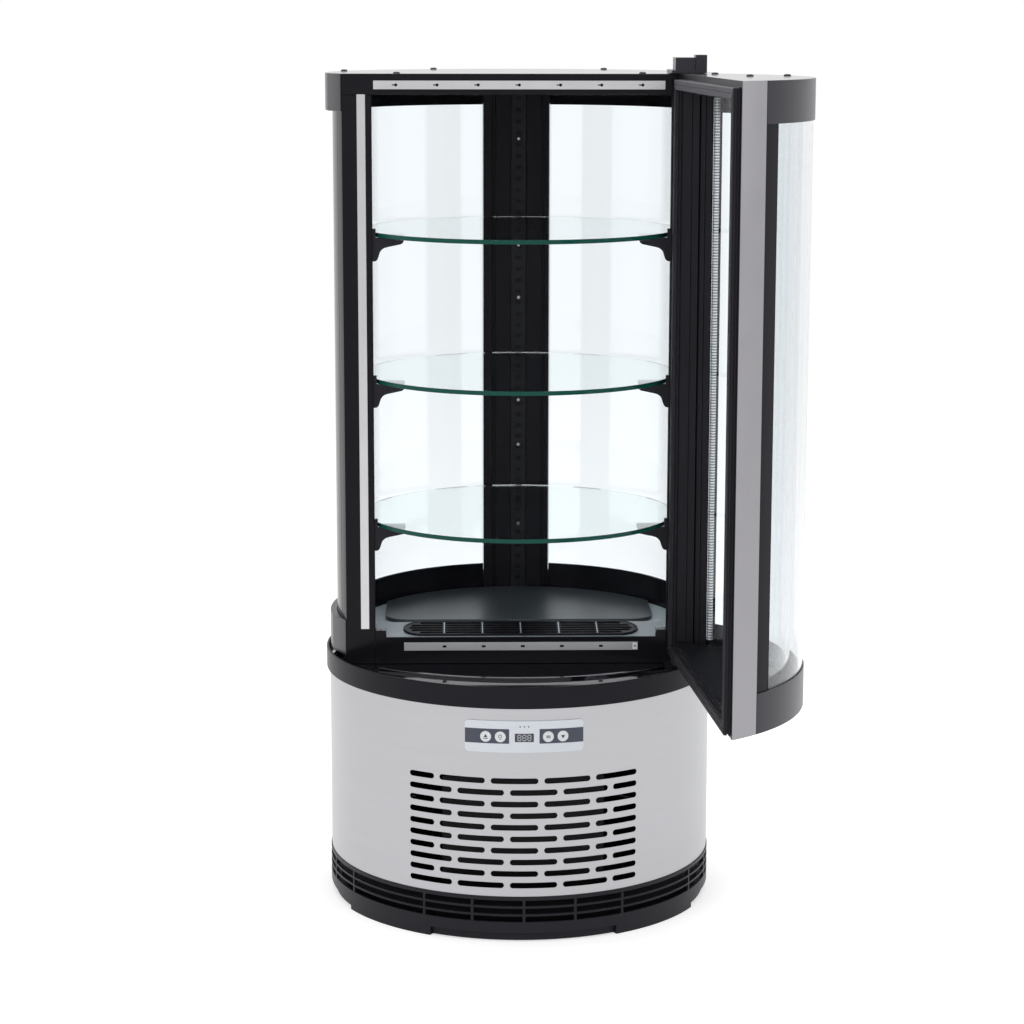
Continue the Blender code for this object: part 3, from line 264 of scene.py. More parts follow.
finishes = {
    "wrap": wrapSteel(),
    "strip": brushedSteel("stripSteel", steel["stripLight"], steel["stripDark"], 0.08, "z"),
    "stripLying": brushedSteel("stripSteelLying", steel["stripLight"], steel["stripDark"], 0.16, "x"),
    "handle": brushedSteel("handleSilver", steel["handleLight"], steel["handleDark"], 0.3, "z"),
    # a lighter copy of the strip steel: painted reflection on the sill strip
    "stripLit": brushedSteel("sillStripLitSteel", rgb(0.74, 0.74, 0.75), rgb(0.60, 0.60, 0.615), 0.14, "x", 0.5),
    "tray": brushedSteel("traySteel", rgb(0.76, 0.80, 0.86), rgb(0.66, 0.70, 0.76), 0.30, "x", 0.25),
    "ledge": brushedSteel("ledgeSteel", rgb(0.38, 0.405, 0.44), rgb(0.31, 0.335, 0.37), 0.30, "x", 0.35),
    "plate": brushedSteel("floorPlateSteel", rgb(0.10, 0.105, 0.115), rgb(0.065, 0.07, 0.08), 0.28, "x", 0.45),
    # galvanised base plate painted dark: painted shade inside the base
    "zincInShade": brushedSteel("basePlateShadedSteel", rgb(0.10, 0.10, 0.105), rgb(0.06, 0.06, 0.065), 0.4, "x", 0.5),
    "screw": brushedSteel("screwSteel", rgb(0.5, 0.5, 0.51), rgb(0.3, 0.3, 0.31), 0.2, "x"),
    "moulded": blackFinish("mouldedBlack", rgb(0.016, 0.0155, 0.019), 0.34, 0.12, 2400.0, 0.10, 0.17),
    "satin": blackFinish("satinBlack", rgb(0.013, 0.0120, 0.0165), 0.26, 0.10, 3200.0, 0.06, 0.45),
    "roof": blackFinish("roofBlack", rgb(0.014, 0.0132, 0.0170), 0.20, 0.08, 3200.0, 0.04, 0.5, 0.5),
    "anodised": blackFinish("anodisedBlack", rgb(0.0115, 0.011, 0.014), 0.30, 0.12, 3600.0, 0.08, 0.12),
    "gloss": blackFinish("glossBlack", rgb(0.0105, 0.0100, 0.0125), 0.12, 0.07, 900.0, 0.01, 0.10),
    "matt": blackFinish("mattBlack", rgb(0.010, 0.0105, 0.0125), 0.55, 0.10, 2400.0, 0.05, 0.03),
    # near-black painted shade, for what lies in shade inside the drum, behind the louvres and between the door
    # panes
    "paintedShade": blackFinish("unlitBlack", rgb(0.005, 0.005, 0.006), 0.6, 0.10, 900.0, 0.05, 0.05),
    "track": blackFinish("trackBlack", rgb(0.019, 0.019, 0.0195), 0.30, 0.10, 1800.0, 0.06, 0.16),
    "deck": blackFinish("deckBlack", rgb(0.006, 0.006, 0.0085), 0.02, 0.05, 500.0, 0.004, 0.5, 0.6),
    "rubber": blackFinish("sealRubber", rgb(0.020, 0.019, 0.023), 0.46, 0.14, 2000.0, 0.10, 0.22),
    # a lighter copy of the seal rubber: painted light on the top limb
    "sealLitTop": blackFinish("sealLitTopRubber", rgb(0.062, 0.058, 0.070), 0.42, 0.14, 2000.0, 0.10, 0.4),
    "lens": blackFinish("displayLens", rgb(0.012, 0.014, 0.018), 0.08, 0.05, 900.0, 0.01, 0.5, 0.5),
    "glass": clearGlass("paneGlass", rgb(0.955, 0.978, 0.992)),
    "shelf": clearGlass("shelfGlass", rgb(0.90, 0.972, 0.965)),
    "shelfFront": plainFinish("shelfFrontEdge", rgb(0.008, 0.088, 0.068), rgb(0.006, 0.066, 0.050), 0.12, 900.0,
                              0.02, level=0.15),
    "spacer": spacerBar(),
    "labelPale": plainFinish("labelPale", rgb(0.80, 0.83, 0.88), rgb(0.74, 0.78, 0.84), 0.26, 1800.0, 0.03),
    "labelDark": plainFinish("labelDark", rgb(0.055, 0.065, 0.095), rgb(0.042, 0.05, 0.075), 0.3, 1800.0, 0.03),
    "disc": plainFinish("buttonWhite", rgb(0.86, 0.88, 0.90), rgb(0.80, 0.82, 0.85), 0.3, 1500.0, 0.02),
    "ink": plainFinish("symbolInk", rgb(0.05, 0.06, 0.09), rgb(0.03, 0.035, 0.05), 0.5, 900.0, 0.02),
    "digit": plainFinish("digitPale", rgb(0.62, 0.66, 0.70), rgb(0.5, 0.54, 0.58), 0.3, 900.0, 0.02),
    "milky": plainFinish("lampCover", rgb(0.86, 0.87, 0.86), rgb(0.80, 0.81, 0.80), 0.36, 700.0, 0.03),
    "foam": plainFinish("foamCore", rgb(0.78, 0.78, 0.75), rgb(0.66, 0.66, 0.63), 0.7, 700.0, 0.5),
    "enamel": plainFinish("compressorBlack", rgb(0.022, 0.022, 0.024), rgb(0.012, 0.012, 0.014), 0.28, 500.0,
                          0.15),
    "fan": plainFinish("fanBlack", rgb(0.028, 0.028, 0.031), rgb(0.017, 0.017, 0.019), 0.4, 900.0, 0.08),
    "condenserFins": finStack("condenserFins", "x", 2.4 * mm, rgb(0.014, 0.014, 0.015),
                              rgb(0.007, 0.007, 0.008)),
    "coilFins": finStack("coilFins", "x", 4.0 * mm, rgb(0.7, 0.71, 0.73), rgb(0.5, 0.51, 0.53)),
}
print("finishes:", len(finishes))


def polar(radius, angle, centre=0.0):
    turn = math.radians(angle)
    return Vector((radius * math.sin(turn), centre - radius * math.cos(turn), 0))


def facing(angle, level, radius=0.0):
    # turns what stands along +Z outwards along a plan radius
    return (Matrix.Translation(polar(radius, angle) + up * level) @ Matrix.Rotation(math.radians(angle), 4, "Z")
            @ Matrix.Rotation(math.pi / 2, 4, "X"))


def frontwards(x, y, z):
    # turns what stands along +Z towards the front
    return Matrix.Translation((x, y, z)) @ Matrix.Rotation(math.pi / 2, 4, "X")


def closed(bm):
    bmesh.ops.remove_doubles(bm, verts=bm.verts, dist=1e-4)
    bmesh.ops.recalc_face_normals(bm, faces=bm.faces)
    return bm


def spun(points, axis, steps, angle=360.0):
    # a closed outline turned about an axis through the origin
    bm = bmesh.new()
    loop = [bm.verts.new(point) for point in points]
    whole = angle > 359.99
    if whole:
        geom = loop + [bm.edges.new((loop[i - 1], loop[i])) for i in range(len(loop))]
    else:
        geom = [bm.faces.new(loop)]
    bmesh.ops.spin(bm, geom=geom, axis=axis, cent=(0, 0, 0), steps=steps, angle=math.radians(angle),
                   use_merge=whole, use_duplicate=False)
    return closed(bm)


def turnedRing(profile, start=0.0, end=360.0, step=1.5, centre=0.0):
    # an outline of (radius, height) corners turned about an upright axis
    steps = max(1, math.ceil((end - start) / step - 1e-6))
    bm = spun([polar(radius, start) + up * height for radius, height in profile], up, steps, end - start)
    return slid(bm, y=centre)


def bandRing(inner, outer, low, high, start=0.0, end=360.0, centre=0.0, step=1.5):
    return turnedRing([(inner, low), (outer, low), (outer, high), (inner, high)], start, end, step, centre)


def turnedBody(profile, steps=48):
    # an open outline of (radius, height) corners whose two ends lie on the upright axis
    bm = bmesh.new()
    loop = [bm.verts.new((radius, 0, height)) for radius, height in profile]
    edges = [bm.edges.new((loop[i], loop[i + 1])) for i in range(len(loop) - 1)]
    bmesh.ops.spin(bm, geom=loop + edges, axis=up, cent=(0, 0, 0), steps=steps, angle=2 * math.pi,
                   use_merge=True, use_duplicate=False)
    return closed(bm)


def raised(bm, height):
    made = bmesh.ops.extrude_face_region(bm, geom=bm.faces[:])["geom"]
    bmesh.ops.translate(bm, verts=[v for v in made if isinstance(v, bmesh.types.BMVert)], vec=up * height)
    bmesh.ops.recalc_face_normals(bm, faces=bm.faces)
    return bm


def sliced(bm, point, away):
    bmesh.ops.bisect_plane(bm, geom=bm.verts[:] + bm.edges[:] + bm.faces[:], dist=1e-4,
                           plane_co=point, plane_no=away, clear_outer=True)


def discBetween(radius, low, high, centre=0.0, cuts=(), steps=240):
    # a round slab; each cut is a point of the plan and the direction that goes away
    bm = bmesh.new()
    bmesh.ops.create_circle(bm, cap_ends=True, radius=radius, segments=steps)
    bmesh.ops.translate(bm, verts=bm.verts, vec=(0, centre, low))
    for x, y, awayX, awayY in cuts:
        sliced(bm, (x, y, 0), (awayX, awayY, 0))
    return raised(bm, high - low)


def bar(x0, x1, y0, y1, z0, z1):
    bm = bmesh.new()
    bmesh.ops.create_cube(bm, size=1)
    bmesh.ops.scale(bm, vec=(x1 - x0, y1 - y0, z1 - z0), verts=bm.verts)
    return slid(bm, (x0 + x1) / 2, (y0 + y1) / 2, (z0 + z1) / 2)


def rod(radius, low, high, steps=32, tip=None):
    bm = bmesh.new()
    bmesh.ops.create_cone(bm, cap_ends=True, segments=steps, radius1=radius,
                          radius2=radius if tip is None else tip, depth=high - low)
    return slid(bm, z=(low + high) / 2)


def moved(bm, matrix):
    bmesh.ops.transform(bm, matrix=matrix, verts=bm.verts)
    return bm


def slid(bm, x=0.0, y=0.0, z=0.0):
    return moved(bm, Matrix.Translation((x, y, z)))


def trimmed(bm, point, away):
    # cuts a solid by a plane and closes the cut
    sliced(bm, point, away)
    bmesh.ops.holes_fill(bm, edges=[e for e in bm.edges if e.is_boundary], sides=0)
    bmesh.ops.recalc_face_normals(bm, faces=bm.faces)
    return bm


def rounded(bm, width, segments=3, keep=None):
    # bevels the sharp edges, or only those that keep() picks
    sharp = [e for e in bm.edges if len(e.link_faces) == 2 and e.calc_face_angle(0) > math.radians(30)]
    if keep:
        sharp = [e for e in sharp if keep(e)]
    bmesh.ops.bevel(bm, geom=sharp, offset=width, segments=segments, profile=0.5,
                    affect="EDGES", clamp_overlap=True, material=-1)
    bmesh.ops.remove_doubles(bm, verts=bm.verts, dist=1e-4)
    return bm


def along(axis, side=None):
    # picks the edges that run along an axis, or only those on one side of X = 0
    def keep(edge):
        one, other = (v.co for v in edge.verts)
        fits = abs((one - other).normalized()["xyz".index(axis)]) > 0.99
        return fits and (side is None or one.x * side > 0)
    return keep


def meshOf(name, bm):
    mesh = bpy.data.meshes.new(name)
    bm.to_mesh(mesh)
    bm.free()
    return mesh


def linked(name, data):
    made = bpy.data.objects.new(name, data)
    bpy.context.scene.collection.objects.link(made)
    return made


def together(*parts):
    # several bmeshes as one
    whole = bmesh.new()
    for bm in parts:
        mesh = meshOf("part", bm)
        whole.from_mesh(mesh)
        bpy.data.meshes.remove(mesh)
    return whole


def repeated(bm, places):
    # the same shape at several places
    whole = together(*[moved(bm.copy(), place) for place in places])
    bm.free()
    return whole


def carved(bm, cutter):
    # an exact difference, read back as a bmesh
    one = linked("blank", meshOf("blank", bm))
    other = linked("cutter", meshOf("cutter", cutter))
    modifier = one.modifiers.new("cut", "BOOLEAN")
    modifier.operation = "DIFFERENCE"
    modifier.solver = "EXACT"
    modifier.object = other
    ready = one.evaluated_get(bpy.context.evaluated_depsgraph_get())
    result = bmesh.new()
    result.from_mesh(ready.to_mesh())
    ready.to_mesh_clear()
    for used in (one, other):
        mesh = used.data
        bpy.data.objects.remove(used)
        bpy.data.meshes.remove(mesh)
    bmesh.ops.remove_doubles(result, verts=result.verts, dist=1e-4)
    return result


def soften(made, width):
    soft = made.modifiers.new("edges", "BEVEL")
    soft.width = width * mm
    soft.segments = 2
    soft.limit_method = "ANGLE"
    soft.angle_limit = math.radians(30)
    soft.harden_normals = True


def piece(name, bm, finish, body="case", nodes=(), edge=0.0, matrix=None, second=None, drum=False):
    # one finished object: edge rounds its sharp edges, second is another finish and the faces it goes on,
    # drum makes the light run smoothly round a wall about the upright axis
    if matrix:
        moved(bm, matrix)
    mesh = meshOf(name, moved(bm, Matrix.Scale(mm, 4)))
    mesh.shade_smooth()
    mesh.set_sharp_from_angle(angle=math.radians(30))
    mesh.materials.append(finishes[finish])
    if second:
        other, wanted = second
        mesh.materials.append(finishes[other])
        for face in mesh.polygons:
            face.material_index = int(wanted(face))
    if drum:
        normals = [corner.vector.copy() for corner in mesh.corner_normals]
        for face in mesh.polygons:
            for corner in face.loop_indices:
                spot = mesh.vertices[mesh.loops[corner].vertex_index].co
                outwards = Vector((spot.x, spot.y, 0)).normalized()
                if abs(face.normal.dot(outwards)) > 0.995:
                    normals[corner] = outwards * math.copysign(1, face.normal.dot(outwards))
        mesh.normals_split_custom_set(normals)
    made = linked(name, mesh)
    if edge:
        soften(made, edge)
    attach(made, body)
    if nodes:
        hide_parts(*nodes)
    return made


def dress(finish, *nodes, edge=0.0):
    # a CAD node whose shape is right, with its own finish and soft edges
    for node in nodes:
        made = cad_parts[node]
        for place in made.material_slots:
            place.material = finishes[finish]
        if edge:
            weld = made.modifiers.new("weld", "WELD")
            weld.merge_threshold = 1e-6
            soften(made, edge)


def screwHead(radius, height):
    # a domed head with a cross recess, standing on the plane z = 0
    head = turnedBody([(0, -height * 0.3), (radius, -height * 0.3), (radius, height * 0.35),
                       (radius * 0.8, height * 0.8), (radius * 0.4, height), (0, height)], 24)
    long, thin = radius * 0.62, radius * 0.13
    head = carved(head, bar(-long, long, -thin, thin, height * 0.4, height * 2))
    return carved(head, bar(-thin, thin, -long, long, height * 0.4, height * 2))


base = {
    "radius": 226, "wall": 3, "shelf": 16, "shelfThick": 3, "lip": 9, "lipThick": 3,
    "footHeight": 10.5, "footHalf": 17, "skirtInset": 5, "skirtThick": 3, "skirtLow": 0.8,
    "louvreTop": 4.2, "louvrePitch": 9.3, "slat": 2.4, "rib": 3, "rows": 3, "columns": 24,
    "screen": 213, "screenLift": 2.5,  # painted shade: a near-black ring that keeps the room behind from showing through
}


def makeBase():
    top = span("base_ring")[1].z
    outer = base["radius"]
    inner = outer - base["wall"]
    foot = base["footHeight"]
    shelf = inner - base["shelf"]
    shelfTop = foot + base["shelfThick"]
    lip = outer - base["lip"]
    lipLow = top - base["lipThick"]
    ring = turnedRing([(shelf, 0), (outer, 0), (outer, top), (lip, top), (lip, lipLow), (inner, lipLow),
                       (inner, shelfTop), (shelf, shelfTop)])
    pitch = 360 / base["columns"]
    rib = math.degrees(base["rib"] / outer / 2)
    holes = []
    at = 0
    while at < base["columns"]:
        wide = 2 if (at + 1) * pitch % 90 == 45 else 1
        for row in range(base["rows"]):
            high = top - base["louvreTop"] - row * base["louvrePitch"]
            low = high - base["louvrePitch"] + base["slat"]
            holes.append(bandRing(inner - over, outer + over, low, high, at * pitch + rib,
                                  (at + wide) * pitch - rib))
        at += wide
    skirts = []
    reach = outer - base["skirtInset"]
    for corner in range(4):
        start = 45 + base["footHalf"] + 90 * corner
        end = start + 90 - 2 * base["footHalf"]
        holes.append(bandRing(shelf - over, outer + over, -over, foot, start, end))
        skirts.append(bandRing(reach - base["skirtThick"], reach, base["skirtLow"], foot + sunk,
                               start - 1, end + 1))
    ring = carved(ring, together(*holes))
    piece("baseRing", together(ring, *skirts), "moulded", nodes=["base_ring"], edge=0.5)
    screen = base["screen"]
    # a near-black ring of painted shade behind the louvre windows
    piece("baseShadeScreen", bandRing(screen, screen + 1, shelfTop + base["screenLift"], top), "paintedShade")


makeBase()
print("base ring")

wrap = {
    "radius": 225, "wall": 1.2, "rows": 10, "rowPitch": 13.5, "firstDrop": 83.5, "fieldHalf": 136.5,
    "slotLength": 53.5, "slotHeight": 6.6, "slotGap": 6.8, "windowHalf": 14.5, "window": (227, 253),
}


def slotSpans(row):
    # where the slots of a row start and end, in millimetres round the drum, laid like bricks
    spans = []
    end = wrap["fieldHalf"]
    while end > wrap["slotHeight"] - wrap["fieldHalf"]:
        start = max(end - wrap["slotLength"], -wrap["fieldHalf"])
        spans.append((start, end) if row % 2 == 0 else (-end, -start))
        end = start - wrap["slotGap"]
    return spans


def makeWrap():
    low, high = levels("shell")
    radius = wrap["radius"]
    inner = radius - wrap["wall"]
    wall = bandRing(inner, radius, low, high)
    half = wrap["slotHeight"] / 2
    slots = []
    for row in range(wrap["rows"]):
        level = high - wrap["firstDrop"] - row * wrap["rowPitch"]
        for start, end in slotSpans(row):
            slot = bar((start - end) / 2, (end - start) / 2, -half, half, -over, over)
            rounded(slot, half - nearly, 5, along("z"))
            slots.append(moved(slot, facing(math.degrees((start + end) / 2 / radius), level, radius)))
    windowLow, windowHigh = wrap["window"]
    slots.append(bandRing(inner - over, radius + over, windowLow, windowHigh,
                          -wrap["windowHalf"], wrap["windowHalf"]))

    # the inner wall and the slot walls are painted near-black as shade
    def paintedShadeFace(face):
        outwards = Vector((face.center.x, face.center.y, 0)).normalized()
        return face.normal.dot(outwards) < 0.9
    piece("steelWrap", carved(wall, together(*slots)), "wrap", nodes=["shell"],
          second=("paintedShade", paintedShadeFace), drum=True)


makeWrap()
print("steel wrap")

rim = {"radius": 229, "wall": 3, "seat": 7, "flange": 3}
deck = {
    "radius": 225.7, "thick": 3, "ductHalf": 118, "ductFront": 66, "ductBack": 32,
    "ridgeRadius": 275, "ridgeCentre": 116, "ridgeThick": 5, "ridgeHeight": 3, "ridgeHalf": 37,
}


def makeDeck():
    low, high = levels("rim_ring")
    deckLow = span("deck")[0].z
    deckHigh = deckLow + deck["thick"]
    outer = rim["radius"]
    inner = outer - rim["wall"]
    seat = inner - rim["seat"]
    seatTop = deckLow - gap
    ring = turnedRing([(seat, low), (outer, low), (outer, high), (inner, high), (inner, seatTop),
                       (seat, seatTop), (seat, seatTop - rim["flange"]), (inner, seatTop - rim["flange"]),
                       (inner, low + rim["flange"]), (seat, low + rim["flange"])])
    piece("rimRing", ring, "anodised", nodes=["rim_ring"], edge=0.9)
    plate = rod(deck["radius"], deckLow, deckHigh, 240)
    duct = bar(-deck["ductHalf"], deck["ductHalf"], -deck["ductFront"], -deck["ductBack"],
               deckLow - over, deckHigh + over)
    plate = carved(plate, duct)
    far, half = deck["ridgeRadius"], deck["ridgeHalf"]
    ridge = bandRing(far - deck["ridgeThick"], far, deckHigh - sunk, deckHigh + deck["ridgeHeight"],
                     -half, half, deck["ridgeCentre"])
    piece("deckPlate", together(plate, ridge), "deck", nodes=["deck"], edge=0.9)


makeDeck()
print("rim and deck")

chord = 75
front = -chord  # the flat front of the glazed case
inside = -56.7  # just behind the posts
frontCut = (0, front, 0, -1)
cap = {
    "radius": 224, "tip": (203.9, 0.889, 0.458), "bore": 216.3, "roof": 219, "roofThick": 12,
    "neckInner": 195.8, "neckOuter": 204.8, "neckHeight": 10.2, "lipHeight": 42, "plateThick": 12,
    "lipInner": 198.8, "columnHalf": 40.8, "collarDrop": 0.5, "edge": 0.8,
    "screws": ((-205, 72), (-141, -63), (-101, 189), (106, 186), (136, -64)), "screwRadius": 4, "screwHeight": 2,
}


def capRing(low, high):
    # each end thins out behind the edge of its post
    x, across, ahead = cap["tip"]
    cuts = [frontCut, (x, front, across, -ahead), (-x, front, -across, -ahead)]
    return discBetween(cap["radius"], low, high, cuts=cuts)


def facesUp(face):
    return face.normal.z > 0.9


def frontAngle(radius, distance):
    # the plan angle at which a circle reaches a distance in front of its centre
    return math.degrees(math.acos(distance / radius))


def makeCaps():
    low, high = levels("bottom_cap")
    lipLow = low + cap["neckHeight"]
    lipHigh = lipLow + cap["lipHeight"]
    bore = discBetween(cap["bore"], lipLow - over, lipHigh + over)
    piece("bottomCap", carved(capRing(lipLow, lipHigh), bore), "satin", nodes=["bottom_cap"],
          edge=cap["edge"])
    plateTop = lipLow + cap["plateThick"]
    start = frontAngle(cap["roof"], -inside)
    parts = [turnedRing([(cap["neckInner"], low), (cap["neckOuter"], low), (cap["neckOuter"], lipLow),
                         (cap["roof"], lipLow), (cap["roof"], plateTop), (cap["neckInner"], plateTop)],
                        start, 360 - start)]
    room = math.degrees(math.asin(cap["columnHalf"] / cap["neckInner"]))
    sides = (start, 180 - room), (180 + room, 360 - start)
    for a, b in sides:
        parts.append(bandRing(cap["neckInner"], cap["lipInner"], plateTop - sunk, high, a, b))
    piece("bottomCapSeat", together(*parts), "gloss", edge=0.6)
    low, high = levels("top_cap")
    roofLow = high - cap["roofThick"]
    ring = carved(capRing(low, high), discBetween(cap["bore"], low - over, roofLow))
    ring = carved(ring, discBetween(cap["bore"], roofLow - sunk, high + over, cuts=[(0, inside, 0, 1)]))
    piece("topCap", ring, "satin", nodes=["top_cap"], edge=cap["edge"],
          second=("roof", facesUp))
    collars = [bandRing(cap["neckInner"], cap["lipInner"], low - cap["collarDrop"], roofLow, a, b)
               for a, b in sides]
    piece("topCapCollar", together(*collars), "matt", edge=0.6)


makeCaps()
print("caps")

post = {
    "radius": 216, "half": 169.5, "back": -57, "flange": 3, "flangeAngle": 96,
    "coverLow": 23.5, "seam": 0.4,
}


def makePosts():
    low, high = levels("left_post")
    paneLow, paneHigh = levels("left_outer_glass")
    seam = high - post["coverLow"]
    backCut = (0, post["back"], 0, 1)
    start = frontAngle(post["radius"], -post["back"])
    for name, side in (("left", -1), ("right", 1)):
        block = discBetween(post["radius"], low, seam - post["seam"],
                            cuts=[frontCut, backCut, (side * post["half"], 0, -side, 0)])
        a, b = (start, post["flangeAngle"]) if side > 0 else (360 - post["flangeAngle"], 360 - start)
        flange = bandRing(post["radius"] - post["flange"], post["radius"], paneLow, paneHigh, a, b)
        piece(name + "Post", together(block, flange), "gloss", nodes=[name + "_post"],
              edge=0.6, second=("matt", lambda face: abs(face.center.x) < (post["half"] + gap) * mm))
    cover = discBetween(post["radius"], seam, high, cuts=[frontCut, backCut])
    piece("headerBeam", cover, "gloss", nodes=["header"], edge=0.6,
          second=("roof", facesUp))
    heads = [Matrix.Translation((x, y, high)) for x, y in cap["screws"]]
    heads = repeated(screwHead(cap["screwRadius"], cap["screwHeight"]), heads)
    piece("roofScrews", heads, "satin")


makePosts()
print("posts and header")

column = {
    "half": 40.5, "front": 196, "channelHalf": 9.5, "channelDeep": 4, "offset": 3,
    "groovePlace": 30.5, "grooveWidth": 4, "grooveDeep": 2.5,
    "screwLevels": (882, 752, 687, 559, 503), "screwRadius": 2.2, "screwHeight": 1.2,
}


def makeColumn():
    low, high = levels("rear_column")
    near, half, x = column["front"], column["half"], column["offset"]
    block = discBetween(post["radius"], low, high, cuts=[(0, near, 0, -1), (half, 0, 1, 0), (-half, 0, -1, 0)])
    wide = column["channelHalf"]
    cuts = [bar(x - wide, x + wide, near - over, near + column["channelDeep"], low - over, high + over)]
    for side in (-1, 1):
        middle = x + side * column["groovePlace"]
        wide = column["grooveWidth"] / 2
        cuts.append(bar(middle - wide, middle + wide, near - over, near + column["grooveDeep"],
                        low - over, high + over))
    piece("rearColumn", carved(block, together(*cuts)), "anodised", nodes=["rear_column"],
          edge=0.5)
    dress("track", "shelf_track", edge=0.25)
    face = span("shelf_track")[0].y
    heads = repeated(screwHead(column["screwRadius"], column["screwHeight"]),
                     [frontwards(x, face, level) for level in column["screwLevels"]])
    piece("trackScrews", heads, "screw")


makeColumn()
print("column and shelf track")

panes = {"step": 0.125, "outer": 212.2, "inner": 203.0, "thick": 3.8, "sealRoom": 0.1, "sealWidth": 2.2,
         "sealHeight": 6}


def makeGlazing():
    low, high = levels("left_outer_glass")
    ends = {}
    for layer in ("outer", "inner"):
        radius = panes[layer]
        within = radius - panes["thick"]
        start = frontAngle(radius, -inside)
        end = 180 - math.degrees(math.asin(cap["columnHalf"] / within))
        ends[layer] = (start, end)
        for name, a, b in (("right", start, end), ("left", 360 - end, 360 - start)):
            bm = bandRing(within, radius, low, high, a, b, step=panes["step"])
            piece(f"{name}{layer.title()}Glass", bm, "glass", nodes=[f"{name}_{layer}_glass"],
                  edge=0.3)
    start, end = ends["inner"]
    near, far = panes["inner"] + panes["sealRoom"], panes["outer"] - panes["thick"] - panes["sealRoom"]
    wide, tall = panes["sealWidth"], panes["sealHeight"]
    for name, a, b, c, d in (("right", start, end, start, start + wide),
                             ("left", 360 - end, 360 - start, 360 - start - wide, 360 - start)):
        parts = [bandRing(near, far, low, low + tall, a, b), bandRing(near, far, high - tall, high, a, b),
                 bandRing(near, far, low + tall, high - tall, c, d)]
        piece(name + "PaneSpacer", together(*parts), "rubber")


makeGlazing()
print("glazing")

ledge = {"height": 31.5, "depth": 52, "rise": 6, "thick": 0.6, "half": 169, "notch": (156.7, 12.7),
         "grilleRoom": 0.6, "setback": 0.2, "lift": 0.02}
grille = {"length": 274, "width": 46, "thick": 2.6, "rim": 4, "slat": 2, "rows": 5, "columns": 6, "cross": 2.2,
          "flat": 0.05, "drop": 0.5, "highlightWide": 0.9, "highlightLevels": (1.6, 2.3)}
plate = {"half": 160, "front": 0, "middle": 50, "corner": 28, "rearCorner": 10, "radius": 191, "sheet": 1.2}


def lyingStadium(length, width, low, high):
    bm = bar(-length / 2, length / 2, -width / 2, width / 2, low, high)
    return rounded(bm, width / 2 - nearly, 10, along("z"))


def makeFloor():
    dress("foam", "insulated_floor")
    dress("tray", "tray")
    dress("gloss", "sill", edge=0.6)
    grilleLow, grilleHigh = span("air_grille")
    depth, rise = ledge["depth"], ledge["rise"]
    tilt = math.atan2(rise, depth)
    middleY = (grilleLow.y + grilleHigh.y) / 2
    sillTop = levels("sill")[0] + ledge["height"]
    lean = Matrix.Rotation(tilt, 4, "X")
    slope = Matrix.Translation((0, front + depth / 2, sillTop + rise / 2)) @ lean
    run = depth / math.cos(tilt)
    sheet = bar(-ledge["half"], ledge["half"], ledge["setback"] - run / 2, run / 2, ledge["lift"],
                ledge["thick"])
    room = ledge["grilleRoom"]
    hole = lyingStadium(grille["length"] + 2 * room, grille["width"] + 2 * room, -over, over)
    notchX, notchY = ledge["notch"]
    beyond = ledge["half"] + over
    notches = [bar(x0, x1, -run, notchY - run / 2, -over, over)
               for x0, x1 in ((-beyond, -notchX), (notchX, beyond))]
    piece("ledgeSheet", carved(sheet, together(hole, *notches)), "ledge", matrix=slope,
          edge=0.2)
    half = grille["width"] / 2
    rim = grille["rim"]
    inner = half - rim
    straight = grille["length"] / 2 - half
    pitchY = (2 * inner + grille["slat"]) / grille["rows"]
    spanX = grille["length"] - 2 * rim
    pitchX = (spanX + grille["cross"]) / grille["columns"]
    holes = []
    for row in range(grille["rows"]):
        y0 = row * pitchY - inner
        y1 = y0 + pitchY - grille["slat"]
        furthest = max(abs(y0), abs(y1)) - grille["slat"] / 2
        limit = straight + math.sqrt(inner ** 2 - furthest ** 2) - grille["slat"]
        for place in range(grille["columns"]):
            x0 = max(place * pitchX - spanX / 2, -limit)
            x1 = min((place + 1) * pitchX - spanX / 2 - grille["cross"], limit)
            hole = bar(x0, x1, y0, y1, -over, over)
            holes.append(rounded(hole, (y1 - y0) / 2 - grille["flat"], 4, along("z")))
    grate = lyingStadium(grille["length"], grille["width"], 0, grille["thick"])
    grate = carved(grate, lyingStadium(grille["length"] - rim, grille["width"] - rim,
                                       grille["thick"] - grille["drop"], over))
    grate = carved(grate, together(*holes))
    place = Matrix.Translation((0, middleY, sillTop + rise / 2 + gap / math.cos(tilt))) @ lean
    piece("airGrille", grate, "anodised", nodes=["air_grille"], matrix=place, edge=0.3)
    # painted highlights: bright bars on the cross ribs stand for the light that the ribs catch
    ribHighlights = []
    for k in range(1, grille["columns"]):
        x = k * pitchX - spanX / 2 - grille["cross"] / 2
        ribHighlights.append(bar(x - grille["highlightWide"] / 2, x + grille["highlightWide"] / 2, -inner, inner, *grille["highlightLevels"]))
    piece("grilleRibHighlights", together(*ribHighlights), "tray", matrix=place)
    low, high = levels("floor_plate")

    def blank(inset, bottom, top):
        reach = plate["half"] - inset
        bm = discBetween(plate["radius"] - inset, bottom, top,
                         cuts=[(reach, 0, 1, 0), (-reach, 0, -1, 0), (0, plate["front"] + inset, 0, -1)])
        rounded(bm, plate["corner"] - inset, 8, lambda e: along("z")(e) and e.verts[0].co.y < plate["middle"])
        return rounded(bm, plate["rearCorner"] - inset, 4,
                       lambda e: along("z")(e) and e.verts[0].co.y > plate["middle"])
    sheet = carved(blank(0, low, high), blank(plate["sheet"], low - over, high - plate["sheet"]))
    piece("floorPlate", sheet, "plate", body="floor_plate", nodes=["floor_plate"], edge=0.5)


makeFloor()
print("floor, ledge and grille")

